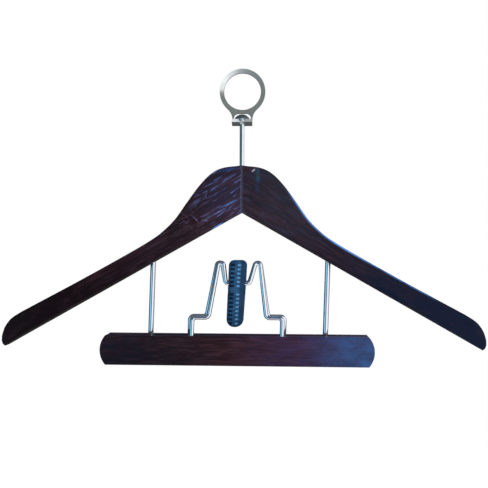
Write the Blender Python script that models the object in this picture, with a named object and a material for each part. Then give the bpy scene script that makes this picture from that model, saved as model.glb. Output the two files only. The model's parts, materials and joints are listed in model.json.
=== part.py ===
"""Wooden suit hanger with a closed rail ring and a locking trouser clamp.

The origin is the centre of the ring's hole, X runs along the arms, -Y faces the viewer and Z is up.
A stamped ring carries a nail-shaped pin on its folded, forked lip. The pin turns in a bush in the
mitre of two wooden arms. Two rods carry the back jaw of the trouser clamp. Two M-shaped wire frames
bear on each other at their arches, and a cam lever draws their cross wires together below them.
"""
import math

import bmesh
import bpy
import numpy as np
from mathutils import Vector

# Clearances: parts that touch keep SEAT_GAP, turning parts keep RUNNING_GAP, cutters run past a face
SEAT_GAP = 0.0003
RUNNING_GAP = 0.0004
CUT_OVERRUN = 0.003

# Rail ring: one stamped plate with a hole, a window for the pin's head and a folded lip
RING_HOLE_RADIUS = 0.01715
RING_BAND = 0.0041
PLATE_THICK = 0.003
PLATE_EDGE_ROUND = 0.0005
NECK_FILLET = 0.014
NECK_WEB = 0.0034
TAIL_ARM = 0.0014
WINDOW_SIDE_ROOM = 0.0009
WINDOW_HEAD_ROOM = 0.0016
WINDOW_CORNER = 0.0042
WINDOW_FOLD_SHARE = 0.13
FOLD_RADIUS = 0.003
LIP_FRONT = 0.0064
LIP_CORNER = 0.0008
LIP_RISE_DEG = 13.7

# Hook pin: a domed nail that hangs on the lip, with a flange below the bush
PIN_STANDOFF = 0.006
PIN_RADIUS = 0.0022
PIN_HEAD_RADIUS = 0.007
PIN_HEAD_HEIGHT = 0.0047
PIN_HEAD_RIM = 0.0007
PIN_BARE = 0.0428
PIN_FLANGE_RADIUS = 0.0035
PIN_FLANGE_THICK = 0.002

# Bush in the mitre
BUSH_WALL = 0.0014
BUSH_LENGTH = 0.016
BUSH_SINK = 0.0012

# Wooden arms
HALF_SPAN = 0.2225
SHOULDER_DROP = 0.1674
SHOULDER_THICK = 0.014
SHOULDER_EDGE_ROUND = 0.003
MITRE_HEIGHT = 0.0434
UPPER_EDGE_SHARES = (
    (-0.076, 0.012), (0.000, 0.000), (0.076, 0.012), (0.126, 0.044), (0.175, 0.110), (0.225, 0.200),
    (0.275, 0.294), (0.324, 0.360), (0.374, 0.410), (0.474, 0.489), (0.674, 0.637),
    (0.872, 0.778), (0.928, 0.819), (0.964, 0.853), (0.988, 0.898), (0.999, 0.945),
)
TIP_CORNER_SHARES = ((0.999, 0.972), (0.994, 0.989), (0.984, 1.000))

# Dowels across the mitre
DOWEL_RADIUS = 0.0025
DOWEL_LENGTH = 0.030
DOWEL_CHAMFER = 0.0006
DOWEL_PITCH = 0.0095
DOWEL_LIFT = 0.0065

# Rods between the arms and the back jaw; the whole clamp leans a little to one side on them
ROD_RADIUS = 0.0025
ROD_HALF_SPACING = 0.081
ROD_BEHIND = 0.003
ROD_BARE = 0.0663
ROD_TOP_SINK = 0.013
ROD_BAR_SINK = 0.016
CLAMP_LEAN_SHARE = 0.0297

# Jaws and their felt
BAR_LENGTH = 0.2492
BAR_HEIGHT = 0.0269
BAR_THICK = 0.011
BAR_END_BULGE = 0.005
BAR_EDGE_ROUND = 0.0014
FELT_THICK = 0.0012
FELT_LENGTH = 0.236
FELT_HEIGHT = 0.021
FELT_LIFT = 0.0025
FELT_CORNER = 0.002

# Wire frames
WIRE_RADIUS = 0.0021
FRAME_OFFSET = -0.0006
FRAME_STAGGER = 0.0003
FRAME_HEIGHT = 0.0662
CROSS_DROP = 0.0185
CROSS_HALF = 0.0109
CROSS_BEND = 0.0028
CROSS_SLIDE = -0.0008
STEP_HEIGHT = 0.0165
FOOT_SINK = 0.014
BACK_FOOT_HALF = 0.0437
BACK_LEG_HALF = 0.0284
BACK_ARCH_HALF = 0.0176
FRONT_FOOT_INSET = 0.0026
FRONT_LEG_INSET = 0.0020
FRONT_ARCH_INSET = 0.0008
ARCH_RADIUS = 0.0026
WIRE_BEND = 0.0036

# Lock lever
LEVER_SLIDE = -0.0004
LEVER_ABOVE = 0.0212
LEVER_BELOW = 0.0401
LEVER_TOP_HALF = 0.0084
LEVER_FOOT_HALF = 0.0077
LEVER_TOP_CORNER = 0.005
LEVER_FOOT_CORNER = 0.0072
LEVER_END_ROUND = 0.003
LEVER_WALL = 0.0026
LEVER_FRONT_WALL = 0.0032
LEVER_FRONT_CROWN = 0.0010
LEVER_FRONT_BOW = 0.0022
LEVER_END_DEPTH = 0.0085
LEVER_HUB_REACH = 0.017
LEVER_SECTION_POWER = 4.6
LEVER_LEAN_DEG = 1.1
LEVER_SWING_DEG = 80
JAW_SWING_DEG = 15
RIB_ROWS = 15
BLANK_ROW = 6
FIRST_ROW_DROP = 0.0046
LAST_ROW_RISE = 0.0036
RIB_THICK = 0.0018
GRIP_SLIDE = -0.0012
SPINE_HALF = 0.0012
POCKET_WIDTH = 0.0034
POCKET_DEPTH = 0.0011

# Counts of points on round forms
RING_POINTS = 72
FILLET_POINTS = 7
TURN_SIDES = 24
WIRE_SIDES = 12
BEND_STEPS = 6
ARCH_STEPS = 10
ROUND_STEPS = 2
CAM_STEPS = 9
LEVER_SIDES = 28
LEVER_END_LEVELS = 5
LEVER_MID_LEVELS = 15

# Places that follow from the sizes above
RING_OUTER_RADIUS = RING_HOLE_RADIUS + RING_BAND
LIP_RISE = math.radians(LIP_RISE_DEG)
WINDOW_HALF = PIN_HEAD_RADIUS + WINDOW_SIDE_ROOM
TAIL_HALF = WINDOW_HALF + TAIL_ARM
WINDOW_TOP_Z = -(RING_HOLE_RADIUS + NECK_WEB)
HEAD_UNDER_Z = WINDOW_TOP_Z - WINDOW_HEAD_ROOM - PIN_HEAD_HEIGHT
HANGER_Y = -PIN_STANDOFF
WOOD_TOP_Z = HEAD_UNDER_Z - PIN_BARE
MITRE_FOOT_Z = WOOD_TOP_Z - MITRE_HEIGHT
BUSH_TOP_Z = WOOD_TOP_Z - BUSH_SINK
BUSH_FOOT_Z = BUSH_TOP_Z - BUSH_LENGTH
BUSH_BORE = PIN_RADIUS + SEAT_GAP
BUSH_RADIUS = BUSH_BORE + BUSH_WALL
FLANGE_TOP_Z = BUSH_FOOT_Z - SEAT_GAP
FLANGE_FOOT_Z = FLANGE_TOP_Z - PIN_FLANGE_THICK
TIP_Z = WOOD_TOP_Z - SHOULDER_DROP
TIP_X = HALF_SPAN * TIP_CORNER_SHARES[-1][0]
ROD_Y = HANGER_Y + ROD_BEHIND
ROD_UNDERSIDE_Z = MITRE_FOOT_Z + (TIP_Z - MITRE_FOOT_Z) * ROD_HALF_SPACING / TIP_X
BAR_TOP_Z = ROD_UNDERSIDE_Z - ROD_BARE
BAR_MID_Z = BAR_TOP_Z - BAR_HEIGHT / 2
BAR_FROM_JAW = SEAT_GAP / 2 + FELT_THICK + SEAT_GAP + BAR_THICK / 2
JAW_Y = ROD_Y - BAR_FROM_JAW
ARCH_FROM_JAW = WIRE_RADIUS + SEAT_GAP / 2
FRAME_SLOPE = (BAR_FROM_JAW - ARCH_FROM_JAW) / FRAME_HEIGHT
ARCH_Z = BAR_TOP_Z + FRAME_HEIGHT
CROSS_Z = ARCH_Z - CROSS_DROP
CROSS_FROM_JAW = ARCH_FROM_JAW + FRAME_SLOPE * CROSS_DROP
CROSS_BORE = WIRE_RADIUS + RUNNING_GAP

# Points on the joints' axes
PIN_POINT = Vector((0, HANGER_Y, HEAD_UNDER_Z))
SWIVEL_POINT = Vector((0, HANGER_Y, BUSH_TOP_Z))
JAW_POINT = Vector((0, JAW_Y, ARCH_Z))
LEVER_POINT = Vector((0, JAW_Y + CROSS_FROM_JAW, CROSS_Z))


def lean_x(z):
    """Sideways drift of the clamp at a height: it grows below the foot of the mitre."""
    return CLAMP_LEAN_SHARE * (z - MITRE_FOOT_Z)


def clear_scene():
    """Remove every object of the scene."""
    for item in list(bpy.data.objects):
        bpy.data.objects.remove(item, do_unlink=True)


def finish_material(name, colour, roughness, metallic):
    """A Principled material with one colour, roughness and metallic value."""
    material = bpy.data.materials.new(name)
    material.use_nodes = True
    shader = material.node_tree.nodes["Principled BSDF"]
    shader.inputs["Base Color"].default_value = (*colour, 1.0)
    shader.inputs["Roughness"].default_value = roughness
    shader.inputs["Metallic"].default_value = metallic
    material.diffuse_color = (*colour, 1.0)
    return material


def axis_empty(name, point):
    """An empty on a joint's axis that the pieces of one body hang from."""
    empty = bpy.data.objects.new(name, None)
    bpy.context.collection.objects.link(empty)
    empty.location = point
    return empty


def add_object(name, shape, origin=Vector((0, 0, 0)), smooth_deg=35):
    """Turn a bmesh in world places into an object whose own origin is the given point."""
    bmesh.ops.translate(shape, vec=-origin, verts=shape.verts)
    mesh = bpy.data.meshes.new(name)
    shape.to_mesh(mesh)
    shape.free()
    mesh.shade_smooth()
    mesh.set_sharp_from_angle(angle=math.radians(smooth_deg))
    item = bpy.data.objects.new(name, mesh)
    bpy.context.collection.objects.link(item)
    return item


def add_piece(name, shape, material, axis):
    """Add one solid of the hanger to the body that turns or slides on an axis."""
    item = add_object(name, shape, axis.location.copy())
    item.data.materials.append(material)
    item.parent = axis
    return item


def cut(item, name, shape):
    """Subtract a shape from a piece with a live Boolean."""
    cutter = add_object(name, shape)
    cutter.hide_render = True
    cutter.display_type = "WIRE"
    boolean = item.modifiers.new(name, "BOOLEAN")
    boolean.operation = "DIFFERENCE"
    boolean.solver = "EXACT"
    boolean.object = cutter


def add_loops(shape, loops):
    """Join closed loops of equal length, an array of loop, point, place, by strips of quads."""
    rows = [[shape.verts.new(point) for point in loop] for loop in loops]
    for row, following in zip(rows, rows[1:]):
        for k in range(len(row)):
            after = (k + 1) % len(row)
            shape.faces.new((row[k], row[after], following[after], following[k]))
    return rows


def lofted(loops):
    """A closed solid through a stack of loops, flat at both ends."""
    shape = bmesh.new()
    rows = add_loops(shape, loops)
    shape.faces.new(rows[0])
    shape.faces.new(rows[-1])
    bmesh.ops.recalc_face_normals(shape, faces=shape.faces)
    return shape


def merged(shapes):
    """One bmesh that holds several separate closed shapes."""
    whole = bmesh.new()
    for shape in shapes:
        mesh = bpy.data.meshes.new("merged")
        shape.to_mesh(mesh)
        shape.free()
        whole.from_mesh(mesh)
        bpy.data.meshes.remove(mesh)
    return whole


def arc(centre, radius, start, end, count):
    """Points of a flat arc from one angle to another, both in radians."""
    angles = np.linspace(start, end, count)
    return np.stack([centre[0] + radius * np.cos(angles), centre[1] + radius * np.sin(angles)], axis=1)


def inset(outline, distance):
    """A closed outline moved to its left by a distance, along the mitred normals of its points."""
    ahead = np.roll(outline, -1, axis=0) - outline
    ahead /= np.linalg.norm(ahead, axis=1)[:, None]
    both = ahead + np.roll(ahead, 1, axis=0)
    normal = np.stack([-both[:, 1], both[:, 0]], axis=1)
    return outline + normal * (2 * distance / (normal ** 2).sum(axis=1))[:, None]


def slab(outer, holes, thick, edge_round, mid_y):
    """A plate across Y with rounded edges: the outer outline runs anticlockwise, holes clockwise."""
    shape = bmesh.new()
    angles = np.linspace(0, math.pi / 2, ROUND_STEPS + 1)
    insets = edge_round * (1 - np.sin(angles))
    depths = thick / 2 - edge_round * (1 - np.cos(angles))
    steps = list(zip(insets, -depths)) + list(zip(insets[::-1], depths[::-1]))
    rims = []
    for outline in [outer, *holes]:
        loops = []
        for distance, y in steps:
            ring = inset(outline, distance) if distance > 0 else outline
            loops.append(np.stack([ring[:, 0], np.full(len(ring), mid_y + y), ring[:, 1]], axis=1))
        rows = add_loops(shape, loops)
        rims.append((rows[0], rows[-1]))
    for side in (0, 1):
        edges = []
        for rim in rims:
            row = rim[side]
            edges += [shape.edges.get((row[k - 1], row[k])) for k in range(len(row))]
        bmesh.ops.triangle_fill(shape, edges=edges, use_beauty=True, use_dissolve=False)
    bmesh.ops.recalc_face_normals(shape, faces=shape.faces)
    return shape


def turned(profile, centre_xy, sides=TURN_SIDES):
    """A solid turned about a vertical axis from a profile of radius and height, ends on the axis."""
    angles = np.linspace(0, 2 * math.pi, sides, endpoint=False)
    shape = bmesh.new()
    inner = [(radius, z) for radius, z in profile if radius > 0]
    loops = [
        np.stack([centre_xy[0] + radius * np.cos(angles), centre_xy[1] + radius * np.sin(angles),
                  np.full(sides, z)], axis=1)
        for radius, z in inner
    ]
    rows = add_loops(shape, loops)
    for end, row in ((profile[0], rows[0]), (profile[-1], rows[-1])):
        if end[0] > 0:
            shape.faces.new(row)
            continue
        pole = shape.verts.new((centre_xy[0], centre_xy[1], end[1]))
        for k in range(sides):
            shape.faces.new((row[k - 1], row[k], pole))
    bmesh.ops.recalc_face_normals(shape, faces=shape.faces)
    return shape


def tube(path, radius, sides):
    """A round bar along a path of points: each ring stands square to the path's mean direction."""
    path = np.asarray(path, dtype=float)
    ahead = np.diff(path, axis=0)
    ahead /= np.linalg.norm(ahead, axis=1)[:, None]
    along = np.vstack([ahead[:1], ahead[:-1] + ahead[1:], ahead[-1:]])
    along /= np.linalg.norm(along, axis=1)[:, None]
    across = np.array([0.0, 1.0, 0.0])
    if abs(ahead[0] @ across) > math.cos(math.radians(45)):
        across = np.array([1.0, 0.0, 0.0])
    angles = np.linspace(0, 2 * math.pi, sides, endpoint=False)
    loops = []
    for point, direction in zip(path, along):
        across = across - direction * (across @ direction)
        across /= np.linalg.norm(across)
        side = np.cross(direction, across)
        loops.append(point + radius * (np.outer(np.cos(angles), across) + np.outer(np.sin(angles), side)))
    return lofted(loops)


def rounded_path(corners):
    """A flat path through corners, each given with its bend radius and drawn as an arc."""
    points = [np.array(corner) for corner, _ in corners]
    path = [points[0]]
    for k in range(1, len(points) - 1):
        radius = corners[k][1]
        if radius == 0:
            path.append(points[k])
            continue
        back = points[k - 1] - points[k]
        on = points[k + 1] - points[k]
        back /= np.linalg.norm(back)
        on /= np.linalg.norm(on)
        half = math.acos(np.clip(back @ on, -1, 1)) / 2
        middle = (back + on) / np.linalg.norm(back + on)
        centre = points[k] + middle * radius / math.sin(half)
        first = points[k] + back * radius / math.tan(half) - centre
        last = points[k] + on * radius / math.tan(half) - centre
        sweep = math.pi - 2 * half
        for step in range(BEND_STEPS + 1):
            share = step / BEND_STEPS
            blend = first * math.sin(sweep * (1 - share)) + last * math.sin(sweep * share)
            path.append(centre + blend / math.sin(sweep))
    path.append(points[-1])
    return path


def smooth_curve(points, steps):
    """A Catmull-Rom curve through points, whose ends keep the direction of their last stretch."""
    points = np.array(points, dtype=float)
    padded = np.vstack([2 * points[0] - points[1], points, 2 * points[-1] - points[-2]])
    curve = []
    for a, b, c, d in zip(padded, padded[1:], padded[2:], padded[3:]):
        for t in np.linspace(0, 1, steps, endpoint=False):
            curve.append(((2 * b) + (c - a) * t + (2 * a - 5 * b + 4 * c - d) * t ** 2
                          + (3 * b - a - 3 * c + d) * t ** 3) / 2)
    curve.append(points[-1])
    return np.array(curve)


def swung(y, z, angle):
    """Turn a place beside an axis about -X: what hangs below the axis swings to the front."""
    return y * math.cos(angle) + z * math.sin(angle), -y * math.sin(angle) + z * math.cos(angle)


def ring_outline():
    """Plate outline: the ring, two concave neck fillets and the straight tail, as if unfolded."""
    fillet_x = TAIL_HALF + NECK_FILLET
    fillet_z = -math.sqrt((RING_OUTER_RADIUS + NECK_FILLET) ** 2 - fillet_x ** 2)
    touch = math.atan2(fillet_z, fillet_x)
    ring = arc((0, 0), RING_OUTER_RADIUS, touch, math.pi - touch, RING_POINTS)
    left = arc((-fillet_x, fillet_z), NECK_FILLET, -touch, 0, FILLET_POINTS)
    right = arc((fillet_x, fillet_z), NECK_FILLET, math.pi, math.pi + touch, FILLET_POINTS)
    left_foot = arc((-TAIL_HALF + LIP_CORNER, tail_foot_z() + LIP_CORNER), LIP_CORNER,
                    math.pi, 1.5 * math.pi, ROUND_STEPS + 2)
    right_foot = arc((TAIL_HALF - LIP_CORNER, tail_foot_z() + LIP_CORNER), LIP_CORNER,
                     1.5 * math.pi, 2 * math.pi, ROUND_STEPS + 2)
    return np.vstack([ring, left[1:], left_foot, right_foot, right[:-1]])


def lip_straight():
    """Length of the lip past its fold, so that its top edge ends LIP_FRONT ahead of the pin."""
    top_front = PIN_STANDOFF + LIP_FRONT
    middle_front = top_front + math.sin(LIP_RISE) * PLATE_THICK / 2
    return (middle_front - FOLD_RADIUS * (1 + math.sin(LIP_RISE))) / math.cos(LIP_RISE)


def fold_z():
    """Height at which the fold starts, so that the lip's top edge lies just below the pin's head."""
    middle_front_z = HEAD_UNDER_Z - SEAT_GAP - math.cos(LIP_RISE) * PLATE_THICK / 2
    return middle_front_z - math.sin(LIP_RISE) * lip_straight() + FOLD_RADIUS * math.cos(LIP_RISE)


def fold_turn():
    """Angle through which the tail is folded, from straight down to forward and up."""
    return math.pi / 2 + LIP_RISE


def tail_foot_z():
    """Foot of the tail in the unfolded plate."""
    return fold_z() - FOLD_RADIUS * fold_turn() - lip_straight()


def window_outline():
    """Clockwise outline of the window: a flat top with round corners, down to the fold."""
    foot = fold_z() - FOLD_RADIUS * fold_turn() * WINDOW_FOLD_SHARE
    corner_x = WINDOW_HALF - WINDOW_CORNER
    top_right = arc((corner_x, WINDOW_TOP_Z - WINDOW_CORNER), WINDOW_CORNER, math.pi / 2, 0, FILLET_POINTS)
    top_left = arc((-corner_x, WINDOW_TOP_Z - WINDOW_CORNER), WINDOW_CORNER, math.pi, math.pi / 2,
                   FILLET_POINTS)
    feet = np.array([(WINDOW_HALF, foot), (-WINDOW_HALF, foot)])
    return np.vstack([top_left, top_right, feet])


def folded(shape):
    """Fold the tail of the flat plate about an axis along X, FOLD_RADIUS in front of the plate."""
    start = fold_z()
    for step in range(1, ARCH_STEPS):
        level = start - FOLD_RADIUS * fold_turn() * step / ARCH_STEPS
        bmesh.ops.bisect_plane(shape, geom=shape.verts[:] + shape.edges[:] + shape.faces[:],
                               dist=SEAT_GAP / 30, plane_co=(0, 0, level), plane_no=(0, 0, 1))
    for vert in shape.verts:
        run = start - vert.co.z
        if run <= 0:
            continue
        turn = min(run / FOLD_RADIUS, fold_turn())
        radius = FOLD_RADIUS + vert.co.y
        past = max(run - FOLD_RADIUS * fold_turn(), 0)
        vert.co.y = -FOLD_RADIUS + radius * math.cos(turn) - past * math.sin(turn)
        vert.co.z = start - radius * math.sin(turn) - past * math.cos(turn)


def fork_slot():
    """Upright cutter for the fork: a round end about the pin, open to the front."""
    half = PIN_RADIUS + SEAT_GAP
    front = -PIN_STANDOFF - LIP_FRONT - CUT_OVERRUN - PLATE_THICK
    end = arc((0, HANGER_Y), half, 0, math.pi, TURN_SIDES // 2 + 1)
    outline = np.vstack([end, [(-half, front), (half, front)]])
    top = HEAD_UNDER_Z + CUT_OVERRUN
    foot = fold_z() - FOLD_RADIUS - PLATE_THICK - CUT_OVERRUN
    loops = [np.column_stack([outline, np.full(len(outline), z)]) for z in (foot, top)]
    return lofted(loops)


def make_ring(axis, material):
    """Stamped plate: outline, hole and window cut flat, the tail folded, then the fork cut."""
    hole = arc((0, 0), RING_HOLE_RADIUS, 2 * math.pi, 0, RING_POINTS + 1)[:-1]
    shape = slab(ring_outline(), [hole, window_outline()], PLATE_THICK, PLATE_EDGE_ROUND, 0)
    folded(shape)
    ring = add_piece("rail_ring", shape, material, axis)
    cut(ring, "fork_cutter", fork_slot())


def make_pin(axis, material):
    """Nail-shaped pin: a domed head, a long shaft and a flange that stays below the bush."""
    dome_height = PIN_HEAD_HEIGHT - PIN_HEAD_RIM
    ball = (PIN_HEAD_RADIUS ** 2 + dome_height ** 2) / (2 * dome_height)
    widest = math.asin(PIN_HEAD_RADIUS / ball)
    dome = [(ball * math.sin(widest * k / BEND_STEPS),
             HEAD_UNDER_Z + PIN_HEAD_HEIGHT - ball * (1 - math.cos(widest * k / BEND_STEPS)))
            for k in range(BEND_STEPS + 1)]
    rest = [(PIN_HEAD_RADIUS, HEAD_UNDER_Z), (PIN_RADIUS, HEAD_UNDER_Z), (PIN_RADIUS, FLANGE_TOP_Z),
            (PIN_FLANGE_RADIUS, FLANGE_TOP_Z), (PIN_FLANGE_RADIUS, FLANGE_FOOT_Z), (0, FLANGE_FOOT_Z)]
    add_piece("hook_pin", turned(dome + rest, (0, HANGER_Y)), material, axis)


def make_bush(axis, material):
    """Sleeve in the mitre: a closed ring profile turned about the pin's axis."""
    angles = np.linspace(0, 2 * math.pi, TURN_SIDES, endpoint=False)
    corners = ((BUSH_BORE, BUSH_TOP_Z), (BUSH_RADIUS, BUSH_TOP_Z),
               (BUSH_RADIUS, BUSH_FOOT_Z), (BUSH_BORE, BUSH_FOOT_Z), (BUSH_BORE, BUSH_TOP_Z))
    shape = bmesh.new()
    loops = [np.stack([radius * np.cos(angles), HANGER_Y + radius * np.sin(angles),
                       np.full(TURN_SIDES, z)], axis=1) for radius, z in corners]
    add_loops(shape, loops)
    bmesh.ops.remove_doubles(shape, verts=shape.verts, dist=SEAT_GAP / 30)
    bmesh.ops.recalc_face_normals(shape, faces=shape.faces)
    add_piece("pin_bush", shape, material, axis)


def shoulder_outline():
    """Anticlockwise outline of the right arm, run past the mitre so that a cut can square it."""
    shares = np.array(UPPER_EDGE_SHARES)
    scale = np.array([HALF_SPAN, -SHOULDER_DROP])
    upper = smooth_curve(shares * scale + (0, WOOD_TOP_Z), 3)
    tip = np.array(TIP_CORNER_SHARES) * scale + (0, WOOD_TOP_Z)
    rise = (MITRE_FOOT_Z - TIP_Z) / TIP_X
    past = np.array([(upper[0][0], MITRE_FOOT_Z - rise * upper[0][0])])
    return np.vstack([upper, tip, past])[::-1]


def dowel_heights():
    """Heights of the two dowels above the foot of the mitre."""
    return {"upper_dowel": MITRE_FOOT_Z + DOWEL_LIFT + DOWEL_PITCH,
            "lower_dowel": MITRE_FOOT_Z + DOWEL_LIFT}


def rod_path(side, gap):
    """Ends of a rod from its socket in the arm to its socket in the back jaw, leaning a little."""
    top = ROD_UNDERSIDE_Z + ROD_TOP_SINK + gap
    foot = BAR_TOP_Z - ROD_BAR_SINK - gap
    return [(side * ROD_HALF_SPACING + lean_x(z), ROD_Y, z) for z in (top, foot)]


def make_shoulder(name, side, axis, material):
    """One arm: a rounded slab cut square at the mitre, bored for bush, dowels and rod."""
    shape = slab(shoulder_outline(), [], SHOULDER_THICK, SHOULDER_EDGE_ROUND, HANGER_Y)
    bisected = bmesh.ops.bisect_plane(
        shape, geom=shape.verts[:] + shape.edges[:] + shape.faces[:], dist=SEAT_GAP / 30,
        plane_co=(SEAT_GAP / 2, 0, 0), plane_no=(-1, 0, 0), clear_outer=True)
    rim = [part for part in bisected["geom_cut"] if isinstance(part, bmesh.types.BMEdge)]
    bmesh.ops.holes_fill(shape, edges=rim, sides=0)
    if side < 0:
        bmesh.ops.scale(shape, vec=(-1, 1, 1), verts=shape.verts)
    bmesh.ops.recalc_face_normals(shape, faces=shape.faces)
    arm = add_piece(name, shape, material, axis)
    seat = BUSH_RADIUS + SEAT_GAP
    chamber = PIN_FLANGE_RADIUS + RUNNING_GAP
    bore = turned([(0, WOOD_TOP_Z + CUT_OVERRUN), (seat, WOOD_TOP_Z + CUT_OVERRUN), (seat, BUSH_FOOT_Z),
                   (chamber, BUSH_FOOT_Z), (chamber, FLANGE_FOOT_Z - RUNNING_GAP),
                   (0, FLANGE_FOOT_Z - RUNNING_GAP)], (0, HANGER_Y))
    cut(arm, name + "_pin_bore", bore)
    reach = DOWEL_LENGTH / 2 + SEAT_GAP
    holes = [tube([(-side * CUT_OVERRUN, HANGER_Y, z), (side * reach, HANGER_Y, z)],
                  DOWEL_RADIUS + SEAT_GAP, TURN_SIDES) for z in dowel_heights().values()]
    holes.append(tube(rod_path(side, SEAT_GAP), ROD_RADIUS + SEAT_GAP, TURN_SIDES))
    cut(arm, name + "_sockets", merged(holes))


def make_dowels(axis, material):
    """Two chamfered dowels across the mitre."""
    half = DOWEL_LENGTH / 2
    angles = np.linspace(0, 2 * math.pi, TURN_SIDES, endpoint=False)
    for name, z in dowel_heights().items():
        stations = ((-half, DOWEL_RADIUS - DOWEL_CHAMFER), (-half + DOWEL_CHAMFER, DOWEL_RADIUS),
                    (half - DOWEL_CHAMFER, DOWEL_RADIUS), (half, DOWEL_RADIUS - DOWEL_CHAMFER))
        loops = [np.stack([np.full(TURN_SIDES, x), HANGER_Y + radius * np.cos(angles),
                           z + radius * np.sin(angles)], axis=1) for x, radius in stations]
        add_piece(name, lofted(loops), material, axis)


def make_rod(name, side, axis, material):
    """A straight rod that carries the back jaw."""
    add_piece(name, tube(rod_path(side, 0), ROD_RADIUS, TURN_SIDES), material, axis)


def bar_outline():
    """Anticlockwise outline of a jaw: a long rectangle whose ends bulge as shallow arcs."""
    half = BAR_HEIGHT / 2
    radius = (half ** 2 + BAR_END_BULGE ** 2) / (2 * BAR_END_BULGE)
    spread = math.asin(half / radius)
    centre = BAR_LENGTH / 2 - radius
    x = lean_x(BAR_MID_Z)
    right = arc((x + centre, BAR_MID_Z), radius, -spread, spread, 2 * FILLET_POINTS)
    left = arc((x - centre, BAR_MID_Z), radius, math.pi - spread, math.pi + spread, 2 * FILLET_POINTS)
    return np.vstack([right, left])


def felt_outline():
    """Anticlockwise outline of a felt lining with small round corners."""
    half = FELT_LENGTH / 2 - FELT_CORNER
    low = BAR_TOP_Z - BAR_HEIGHT + FELT_LIFT + FELT_CORNER
    high = low + FELT_HEIGHT - 2 * FELT_CORNER
    x = lean_x(BAR_MID_Z)
    corners = ((x + half, low, -0.5), (x + half, high, 0), (x - half, high, 0.5), (x - half, low, 1))
    return np.vstack([arc((u, v), FELT_CORNER, turn * math.pi, (turn + 0.5) * math.pi, ROUND_STEPS + 2)
                      for u, v, turn in corners])


def frame_half(insets):
    """Half of a wire frame, foot to middle: foot, step, leg, arch and cross wire."""
    foot_inset, leg_inset, arch_inset = insets
    foot_x = BACK_FOOT_HALF - foot_inset
    leg = np.array((BACK_LEG_HALF - leg_inset, BAR_TOP_Z + STEP_HEIGHT))
    cross = np.array((CROSS_HALF, CROSS_Z))
    centre = np.array((BACK_ARCH_HALF - arch_inset, ARCH_Z - ARCH_RADIUS))

    def touch_angle(point, turn):
        reach = np.linalg.norm(point - centre)
        away = (point - centre) / reach
        return math.atan2(away[1], away[0]) + turn * math.acos(ARCH_RADIUS / reach)

    start = touch_angle(leg, 1)
    end = touch_angle(cross, -1) + 2 * math.pi
    corners = [((foot_x, BAR_TOP_Z - FOOT_SINK), 0), ((foot_x, leg[1]), WIRE_BEND),
               (tuple(leg), WIRE_BEND)]
    corners += [(tuple(point), 0) for point in arc(centre, ARCH_RADIUS, start, end, ARCH_STEPS)]
    corners += [(tuple(cross), CROSS_BEND), ((0, CROSS_Z), 0)]
    return rounded_path(corners)


def frame_path(side, insets, shift):
    """Whole frame in space: the flat half and its mirror image, leaned back or forward, drifted.

    Between the arches the wire also slides sideways, fully at the cross wire.
    """
    half = frame_half(insets)
    flat = half + [np.array((-x, z)) for x, z in half[-2::-1]]
    path = []
    for x, z in flat:
        y = JAW_Y + side * (ARCH_FROM_JAW + FRAME_SLOPE * (ARCH_Z - z))
        slide = CROSS_SLIDE * (ARCH_Z - z) / CROSS_DROP if abs(x) < BACK_ARCH_HALF - insets[2] else 0
        path.append((x + shift + slide + lean_x(z), y, z))
    return path


def make_jaw(name, side, frame, axis, materials):
    """One jaw: bar, felt lining and wire frame, with the bar bored for the frame's feet."""
    bar_y = JAW_Y + side * BAR_FROM_JAW
    felt_y = JAW_Y + side * (SEAT_GAP + FELT_THICK) / 2
    bar = add_piece(name + "_bar", slab(bar_outline(), [], BAR_THICK, BAR_EDGE_ROUND, bar_y),
                    materials["wood"], axis)
    add_piece(name + "_felt", slab(felt_outline(), [], FELT_THICK, FELT_THICK / 4, felt_y),
              materials["felt"], axis)
    add_piece(name + "_frame", tube(frame, WIRE_RADIUS, WIRE_SIDES), materials["chrome"], axis)
    sockets = []
    for foot, above in ((frame[0], frame[1]), (frame[-1], frame[-2])):
        foot, above = Vector(foot), Vector(above)
        down = (foot - above).normalized()
        top = foot - down * (FOOT_SINK + CUT_OVERRUN)
        sockets.append(tube([top, foot + down * SEAT_GAP], WIRE_RADIUS + SEAT_GAP, TURN_SIDES))
    if side > 0:
        sockets += [tube(rod_path(end, SEAT_GAP), ROD_RADIUS + SEAT_GAP, TURN_SIDES) for end in (-1, 1)]
    cut(bar, name + "_bar_sockets", merged(sockets))


def cam_path():
    """Places of the front cross wire in the lever's own frame as the lever turns from shut to open."""
    path = []
    for share in np.linspace(0, 1, CAM_STEPS):
        turn = math.radians(LEVER_SWING_DEG) * share
        jaw = math.radians(JAW_SWING_DEG) * share
        y, z = swung(-CROSS_FROM_JAW, CROSS_Z - ARCH_Z, jaw)
        path.append(swung(y - CROSS_FROM_JAW, z + ARCH_Z - CROSS_Z, -turn))
    return np.array(path)


def slot_outline(path, half):
    """Outline of a slot of constant width about a path, with round ends."""
    ahead = np.gradient(path, axis=0)
    ahead /= np.linalg.norm(ahead, axis=1)[:, None]
    normal = np.stack([-ahead[:, 1], ahead[:, 0]], axis=1)
    first = math.atan2(normal[0][1], normal[0][0])
    last = math.atan2(normal[-1][1], normal[-1][0])
    start_cap = arc(path[0], half, first, first + math.pi, BEND_STEPS + 1)
    end_cap = arc(path[-1], half, last - math.pi, last, BEND_STEPS + 1)
    right = path[1:-1] - normal[1:-1] * half
    left = path[1:-1] + normal[1:-1] * half
    return np.vstack([start_cap, right, end_cap, left[::-1]])


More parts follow.
